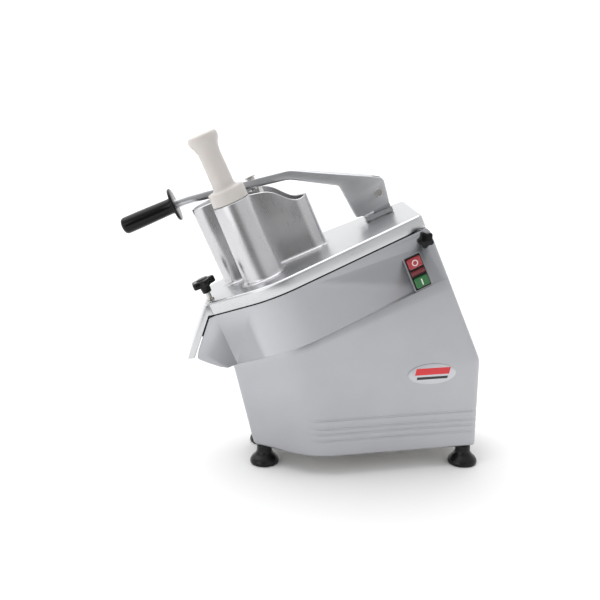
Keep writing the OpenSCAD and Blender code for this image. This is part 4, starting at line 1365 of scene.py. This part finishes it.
@dataclass
class PressLever:
    """The press lever: a round bar that turns into a flat arm and ends in a fork."""

    frames: Frames
    y: float = 40
    thick: float = 14
    fork_half: float = 14.6
    gap_half: float = 7.6
    pivot_u: float = 184
    pivot_v: float = 36
    pin_d: float = 10
    rod_u: float = 11
    rod_d: float = 12
    grip_v: float = 142
    grip_start: float = -110
    grip_end: float = -200
    grip_d: float = 26
    guard_d: float = 52
    stations: tuple[tuple[float, float, float, float, float, float], ...] = (
        (-116, 149, -116, 135, 7.0, 6.95), (-100, 149.2, -100, 135, 7.0, 6.9), (-86, 147.6, -88, 134, 7.0, 6.2),
        (-60, 143.7, -62, 129.8, 7.0, 5.2), (-20, 136.9, -22, 123, 7.0, 4.2), (30, 128.5, 28, 114.5, 7.0, 3.2),
        (56, 124.1, 53, 110.1, 7.0, 3.0), (65, 122.6, 60, 108.7, 7.1, 3.0), (72, 120.9, 66, 107, 7.4, 3.0),
        (80, 116.9, 72, 103.9, 8.0, 2.8), (104, 104.3, 92, 92.3, 10.6, 2.6), (136, 87.7, 117, 78, 13.9, 2.4),
        (158, 76.2, 129, 71, 14.6, 2.2), (168, 71, 131.4, 68, 14.6, 2.2), (180, 64.8, 132.4, 62, 14.6, 2.2),
        (196.6, 54.8, 133.4, 52, 14.6, 2.2), (198.4, 50, 134.4, 44, 14.6, 2.2), (196, 30, 136.4, 24, 14.6, 2.2),
        (194.2, 17.4, 138, 13.4, 14.6, 2.2), (189.6, 14, 149, 11.4, 14.6, 1.6),
    )

    def _section(self, station: tuple[float, float, float, float, float, float]) -> list[Vector]:
        """A rounded section of the arm.

        Args:
            station: Upper and lower point along and above the slope, half the thickness and the
                corner radius.

        Returns:
            The section's points.
        """
        top, low = Vector((station[0], 0, station[1])), Vector((station[2], 0, station[3]))
        centre, up = (top + low) / 2, (top - low) / 2
        half, corner = station[4], min(station[5], up.length - 0.05)
        flat, rise = half - corner, up.length - corner
        ring = []
        for k in range(24):
            a = math.tau * (k + 0.5) / 24
            side, lift = math.cos(a), math.sin(a)
            across = math.copysign(flat, side) + corner * side
            along = math.copysign(rise, lift) + corner * lift
            ring.append(centre + Vector((0, across + self.y, 0)) + up.normalized() * along)
        return ring

    def _arm(self) -> bmesh.types.BMesh:
        """Loft the arm and fork, and cut the slot, the pin hole and the rod hole."""
        arm = loft([self._section(s) for s in self.stations], cap=True)
        slot = block(
            (self.pivot_u - 26, self.y - self.gap_half, 0), (self.pivot_u + 40, self.y + self.gap_half, self.pivot_v + 26)
        )
        pin = moved(rod(self.pin_d / 2 + 0.02, -100, 20), along_y(self.pivot_u, self.pivot_v))
        bar = moved(rod(self.rod_d / 2 + 0.05, 90, 170), Matrix.Translation((self.rod_u, self.y, 0)))
        tang = moved(rod(5.95, 0, 90), self._grip_frame())
        return combine(combine(arm, Cut.AWAY, slot, pin, bar), Cut.ADD, tang)

    def _grip_frame(self) -> Matrix:
        """The frame of the grip: its height axis runs away from the arm, from its end."""
        place = Matrix.Translation((self.grip_start + 8, self.y, self.grip_v))
        return place @ Matrix.Rotation(math.radians(-90), 4, "Y")

    def _grip(self) -> bmesh.types.BMesh:
        """Turn the grip with its hand guard."""
        g, r, start = self.guard_d / 2, self.grip_d / 2, 8
        length = self.grip_start - self.grip_end
        guard = [(g - 1.6, start), (g - 0.5, start + 0.5), (g, start + 1.6), (g - 0.3, start + 3.2), (g - 1.4, start + 4.4)]
        neck = [(r + 2.5, start + 5.4), (r - 0.2, start + 7.2), (r - 1.0, start + 10)]
        swell = [(r - 0.7, start + 26), (r - 0.2, start + 50), (r, start + 68)]
        tip = [
            (r - 7 + 7 * math.cos(a), start + length - 7 + 7 * math.sin(a))
            for a in (math.radians(d) for d in range(0, 91, 10))
        ]
        hollow = [(6, start + 70), (6, start + 6.2), (7.05, start + 6.2), (7.05, start)]
        return lathe([*guard, *neck, *swell, *tip, (0, start + length), (0, start + 70), *hollow], 64)

    def _pin(self) -> bmesh.types.BMesh:
        """The pivot pin: a rod with a shallow socket head on each side."""
        high, reach = 1.5, self.fork_half + 0.05
        shaft = rod(self.pin_d / 2, -reach - 0.4, reach + 0.4)
        heads = []
        for turn in (0, math.pi):
            head = lathe([(0, 0), (6.4, 0), (6.4, high - 0.6), (5.7, high), (2.7, high), (2.7, high - 1.2), (0, high - 1.2)], 48)
            heads.append(moved(head, Matrix.Rotation(turn, 4, "X") @ Matrix.Translation((0, 0, reach))))
        pin = combine(shaft, Cut.ADD, *heads)
        return moved(pin, Matrix.Translation((0, self.y, 0)) @ along_y(self.pivot_u, self.pivot_v))

    def build(self) -> None:
        """Build the arm, its pin and the grip."""
        piece("lever_pivot_pin", self._pin(), self.frames.slope, STAINLESS, Body.LEVER, ["lever_pin"], 40)
        piece("lever_arm", self._arm(), self.frames.slope, LEVER_POLISH, Body.LEVER, ["lever"], 34)
        grip = moved(loft_free(self._grip()), self._grip_frame())
        piece("lever_hand_grip", grip, self.frames.slope, PHENOLIC, Body.LEVER, ["lever_grip"], 40)


def loft_free(bm: bmesh.types.BMesh) -> bmesh.types.BMesh:
    """Drop faces without area from a turned solid, and face it outwards."""
    bmesh.ops.dissolve_degenerate(bm, dist=1e-4, edges=bm.edges)
    bmesh.ops.recalc_face_normals(bm, faces=bm.faces)
    return bm


@dataclass
class HandPusher:
    """The turned polyethylene pusher of the round tube."""

    frames: Frames
    hopper: FeedHopper
    collar: float = 20
    shaft: float = 32
    reach: float = 84
    gap: float = 0.4
    plunge: float = 108

    def build(self) -> bpy.types.Object:
        """Turn the pusher: plunger, collar, shaft and flared end."""
        bore, outer = self.hopper.tube_bore / 2 - self.gap, self.hopper.tube_bore / 2 + self.hopper.tube_wall - 0.8
        c, s, top = self.collar, self.shaft / 2, self.collar + self.reach
        plunger = [(0, -self.plunge + 96), (bore - 4, -self.plunge + 96), (bore - 4, -self.plunge + 0.8),
                   (bore - 3.2, -self.plunge), (bore - 1.2, -self.plunge), (bore, -self.plunge + 1.6),
                   (bore, -1), (bore - 0.6, 0)]
        rim = [(outer - 1.6, 0), (outer - 0.4, 0.5), (outer, 1.8), (outer, c - 2.2), (outer - 0.5, c - 0.8), (outer - 1.8, c)]
        neck = curve_through([(s + 4.4, c + 0.5), (s + 2, c + 2), (s + 0.6, c + 4.6), (s, c + 9)], 4)
        flare = curve_through(
            [(s - 0.2, top - 36), (s + 0.2, top - 27), (s + 2.2, top - 18.5), (s + 5.2, top - 12.5), (s + 6.4, top - 9),
             (s + 6.5, top - 5.5), (s + 5.9, top - 2.4), (s + 4.2, top - 0.6), (s + 1.6, top), (s * 0.5, top - 0.2), (0, top - 0.4)], 4
        )
        bm = lathe([*plunger, *rim, *neck, *flare], 80)
        place = Matrix.Translation((self.hopper.tube_u, self.hopper.tube_y, self.hopper.tube_height + self.gap))
        return piece("hand_pusher_turned", moved(bm, place), self.frames.slope, POLYETHYLENE, Body.PUSHER, ["hand_pusher"], 50)


@dataclass
class StarKnob:
    """A five-lobed moulded knob on a hub, built upright on its own axis."""

    diameter: float
    height: float
    hub_low: float
    hub_r: float
    crown: float = 1.5
    bore: float = 3.5
    bore_depth: float = 6.0
    phase: float = 7.0

    def _ring(self, inset: float, level: float) -> list[Vector]:
        """The lobed outline, pulled in at its edges."""
        out = []
        for k in range(120):
            a = math.tau * k / 120
            lobe = math.cos(5 * (a - math.radians(self.phase)))
            swell = math.copysign(abs(lobe) ** 0.8, lobe)
            r = self.diameter / 2 * (0.885 + 0.115 * swell) - inset
            out.append(Vector((r * math.cos(a), r * math.sin(a), level)))
        return out

    def mesh(self) -> bmesh.types.BMesh:
        """Loft the head over the hub, and bore the hub from below."""
        h, hub = self.height, self.hub_r
        round_rows = [(1.8, 0.0), (0.7, 0.35), (0.0, 1.6), (0.0, h - 2.4), (0.5, h - 1.0), (1.6, h - 0.2), (3.2, h + 0.1)]
        head = loft([self._ring(i, z) for i, z in round_rows], cap=True)
        cap = lathe([(0, h - 1), (hub + 1.6, h - 1), (hub + 1.4, h + self.crown - 0.6), (hub + 0.6, h + self.crown), (0, h + self.crown)])
        foot = lathe([(0, -self.hub_low), (hub - 1, -self.hub_low), (hub - 0.4, -self.hub_low + 0.6), (hub + 0.6, 0.5), (hub + 2.2, 1.5), (0, 1.5)])
        body = combine(head, Cut.ADD, foot, cap)
        return combine(body, Cut.AWAY, rod(self.bore, -self.hub_low - 5, -self.hub_low + self.bore_depth))


@dataclass
class Knobs:
    """The clamp knob of the lid and the knob of the hinge rod."""

    frames: Frames
    plan: HousingPlan
    stud_u: float = -112
    stud_y: float = -43
    hinge_u: float = 210
    hinge_v: float = -33
    seat: float = 14.0

    def build(self) -> None:
        """Build both knobs."""
        clamp = StarKnob(37, 10, 11, 7.2, 1.5, 3.52, 6.05).mesh()
        moved(clamp, Matrix.Translation((self.stud_u, self.stud_y, 23)))
        piece("clamp_star_knob", clamp, self.frames.slope, PHENOLIC, Body.CLAMP, ["clamp_knob"], 40)
        side = self.plan.side(self.hinge_u)
        small = StarKnob(25, 10, 5, 7.0, 1.4, 4.52, 11.05, phase=25).mesh()
        moved(small, Matrix.Translation((self.hinge_u, -side - 8, self.hinge_v)) @ Matrix.Rotation(math.radians(90), 4, "X"))
        piece("hinge_star_knob", small, self.frames.slope, PHENOLIC, Body.HINGE_PIN, ["hinge_knob"], 40)


# ---------------------------------------------------------------------------------------------
# Parts that keep their own solids
# ---------------------------------------------------------------------------------------------


@dataclass
class Internals:
    """Everything that keeps its part's own solid: each gets the finish of its slot."""

    frames: Frames
    record: dict
    nodes: dict[str, bpy.types.Object]
    special: dict[str, Finish] = field(
        default_factory=lambda: {
            "lever_bracket": LEVER_POLISH,
            "cord_gland": POLYAMIDE,
            # The gasket's black is partly the rubber's own colour and partly painted shade: it stands in for the dark
            # shadow gap under the lid's rear.
            "lid_gasket": RUBBER,
            "press_plate": CAST_RAW,
        }
    )

    def dress(self) -> None:
        """Give every part its finish."""
        for part in self.record["subparts"]:
            obj = self.nodes[part["node"]]
            finish = self.special.get(part["node"], BY_SLOT[Slot(part["material_slot"])])
            obj.data.materials.clear()
            obj.data.materials.append(finish.material())


@dataclass
class Fasteners:
    """Screw heads that repeat round a circle."""

    frames: Frames
    pattern: RoundPattern
    motor_u: float = 130
    motor_r: float = 59
    pull_v: float = -231
    seam_v: float = -102

    @staticmethod
    def _cap_head(radius: float, height: float) -> bmesh.types.BMesh:
        """A socket cap head with a six-sided recess."""
        head = lathe([(0, 0), (radius, 0), (radius, height - 0.4), (radius - 0.4, height), (0, height)], 24)
        socket = lathe([(0, height * 0.4), (radius * 0.5, height * 0.4), (radius * 0.5, height + 1), (0, height + 1)], 6)
        return combine(head, Cut.AWAY, socket)

    def build(self) -> None:
        """Set the heads of the bearing housing's screws."""
        head = moved(self._cap_head(5, 5), Matrix.Rotation(math.pi, 4, "X"))
        heads = self.pattern.repeat(head, 4, 39, ZINC)
        moved(heads, Matrix.Translation((0, 0, self.seam_v - 8.05)))
        piece("bearing_screw_heads", heads, self.frames.slope, ZINC, Body.MACHINE)


# ---------------------------------------------------------------------------------------------
# Studio
# ---------------------------------------------------------------------------------------------


@dataclass
class Studio:
    """A white studio: camera, pale floor, one broad sun, soft lights and a bright surround."""

    eye: tuple[float, float, float] = (-0.0701, -1.26366, 0.57139)
    pitch: float = 14.229
    yaw: float = 3.3187
    lens: float = 50.55
    floor_edge: float = -1.15
    gap_turn: float = 0.16
    front_level: float = 0.22
    side_level: float = 0.8
    back_level: float = 1.15

    def camera(self) -> None:
        """Set the camera."""
        data = bpy.data.cameras.new("camera")
        data.lens = self.lens
        data.sensor_width = 36.0
        camera = bpy.data.objects.new("camera", data)
        camera.location = self.eye
        camera.rotation_euler = (math.radians(90 - self.pitch), 0, math.radians(-self.yaw))
        bpy.context.scene.collection.objects.link(camera)
        bpy.context.scene.camera = camera

    def floor(self) -> None:
        """Lay the floor."""
        bm = bmesh.new()
        corners = ((-12, self.floor_edge), (12, self.floor_edge), (12, 14), (-12, 14))
        bm.faces.new([bm.verts.new((x, y, 0)) for x, y in corners])
        floor = as_object(bm, "floor")
        paper = bpy.data.materials.new("paper_white")
        paper.use_nodes = True
        surface = paper.node_tree.nodes["Principled BSDF"]
        surface.inputs["Base Color"].default_value = srgb("#FAFAFA")
        surface.inputs["Roughness"].default_value = 0.9
        floor.data.materials.append(paper)

    def light(self, name: str, place: Sequence[float], size: Sequence[float], power: float) -> None:
        """Hang one soft light that faces the machine.

        Args:
            name: Its name.
            place: Where it hangs, in metres.
            size: Its width and height, in metres.
            power: Its power, in watts.
        """
        data = bpy.data.lights.new(name, "AREA")
        data.shape = "RECTANGLE"
        data.size, data.size_y = size
        data.energy = power
        self._hang(data, place)

    def sun(self, name: str, place: Sequence[float], spread: float, strength: float) -> None:
        """Hang one light as broad as a part of the sky, which lights the floor evenly.

        Args:
            name: Its name.
            place: The side that it shines from.
            spread: Its width, in degrees.
            strength: Its strength, in watts to the square metre.
        """
        data = bpy.data.lights.new(name, "SUN")
        data.angle = math.radians(spread)
        data.energy = strength
        self._hang(data, place)

    @staticmethod
    def _hang(data: bpy.types.Light, place: Sequence[float]) -> None:
        """Place a light and turn it to the machine."""
        lamp = bpy.data.objects.new(data.name, data)
        lamp.location = place
        aim = Vector((0, 0, 0.25)) - Vector(place)
        lamp.rotation_euler = aim.to_track_quat("-Z", "Y").to_euler()
        bpy.context.scene.collection.objects.link(lamp)

    def surround(self) -> None:
        """Light the room: white all round, with a grey gap on the side that the controls face.

        The gap is there for reflections and light only. The backdrop itself is white on every side.
        """
        world = bpy.data.worlds.new("white_room")
        world.use_nodes = True
        tree = world.node_tree
        way = add(tree, "ShaderNodeSeparateXYZ", {0: add(tree, "ShaderNodeTexCoord").outputs["Generated"]}).outputs
        back = add(tree, "ShaderNodeMath", {0: way["Y"], 1: -1.0}, operation="MULTIPLY").outputs[0]
        azimuth = add(tree, "ShaderNodeMath", {0: way["X"], 1: back}, operation="ARCTAN2").outputs[0]
        turned = add(tree, "ShaderNodeMath", {0: azimuth, 1: self.gap_turn}, operation="ADD").outputs[0]
        side = add(tree, "ShaderNodeMath", {0: turned}, operation="ABSOLUTE").outputs[0]
        beside = add(
            tree, "ShaderNodeMapRange", {"Value": side, "From Min": 0.1, "From Max": 0.62}, interpolation_type="SMOOTHSTEP"
        ).outputs[0]
        above = add(
            tree, "ShaderNodeMapRange", {"Value": way["Z"], "From Min": 0.35, "From Max": 0.85}, interpolation_type="SMOOTHSTEP"
        ).outputs[0]
        lit = add(tree, "ShaderNodeMath", {0: beside, 1: above}, operation="MAXIMUM").outputs[0]
        behind = add(
            tree, "ShaderNodeMapRange", {"Value": way["Y"], "To Min": self.side_level, "To Max": self.back_level}
        ).outputs[0]
        level = add(
            tree, "ShaderNodeMapRange", {"Value": lit, "To Min": self.front_level, "To Max": behind}
        ).outputs[0]
        seen = add(tree, "ShaderNodeLightPath").outputs["Is Camera Ray"]
        shown = add(tree, "ShaderNodeMath", {0: level, 1: seen}, operation="MAXIMUM").outputs[0]
        tree.links.new(shown, tree.nodes["Background"].inputs["Strength"])
        tree.nodes["Background"].inputs["Color"].default_value = (1, 1, 1, 1)
        bpy.context.scene.world = world

    def build(self) -> None:
        """Set up the studio."""
        self.camera()
        self.floor()
        self.surround()
        self.sun("sky", (-0.6, 0.5, 2.0), 70, 1.5)
        self.light("key_left", (-2.0, -2.0, 0.9), (1.8, 1.8), 12)
        bpy.context.scene.view_settings.view_transform = "Standard"
        bpy.context.scene.view_settings.look = "None"


def main() -> None:
    """Load the frame, build every piece in order and log each piece's face count."""
    logging.basicConfig(level=logging.INFO, format="%(message)s")
    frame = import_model()
    Studio().build()
    nodes, frames, plan = frame["nodes"], Frames(frame["record"]), HousingPlan()
    Internals(frames, frame["record"], nodes).dress()
    base = BaseCasting(frames, plan).build()
    UpperCasting(frames, nodes).build()
    BellFoot(frames).build()
    BadgePlate(frames, base).build()
    ButtonStation(frames, plan).build()
    hopper = FeedHopper(frames)
    hopper.build()
    Lid(frames, plan, hopper).build()
    PressLever(frames).build()
    HandPusher(frames, hopper).build()
    Knobs(frames, plan).build()
    Fasteners(frames, RoundPattern()).build()


if __name__ == "__main__":
    main()
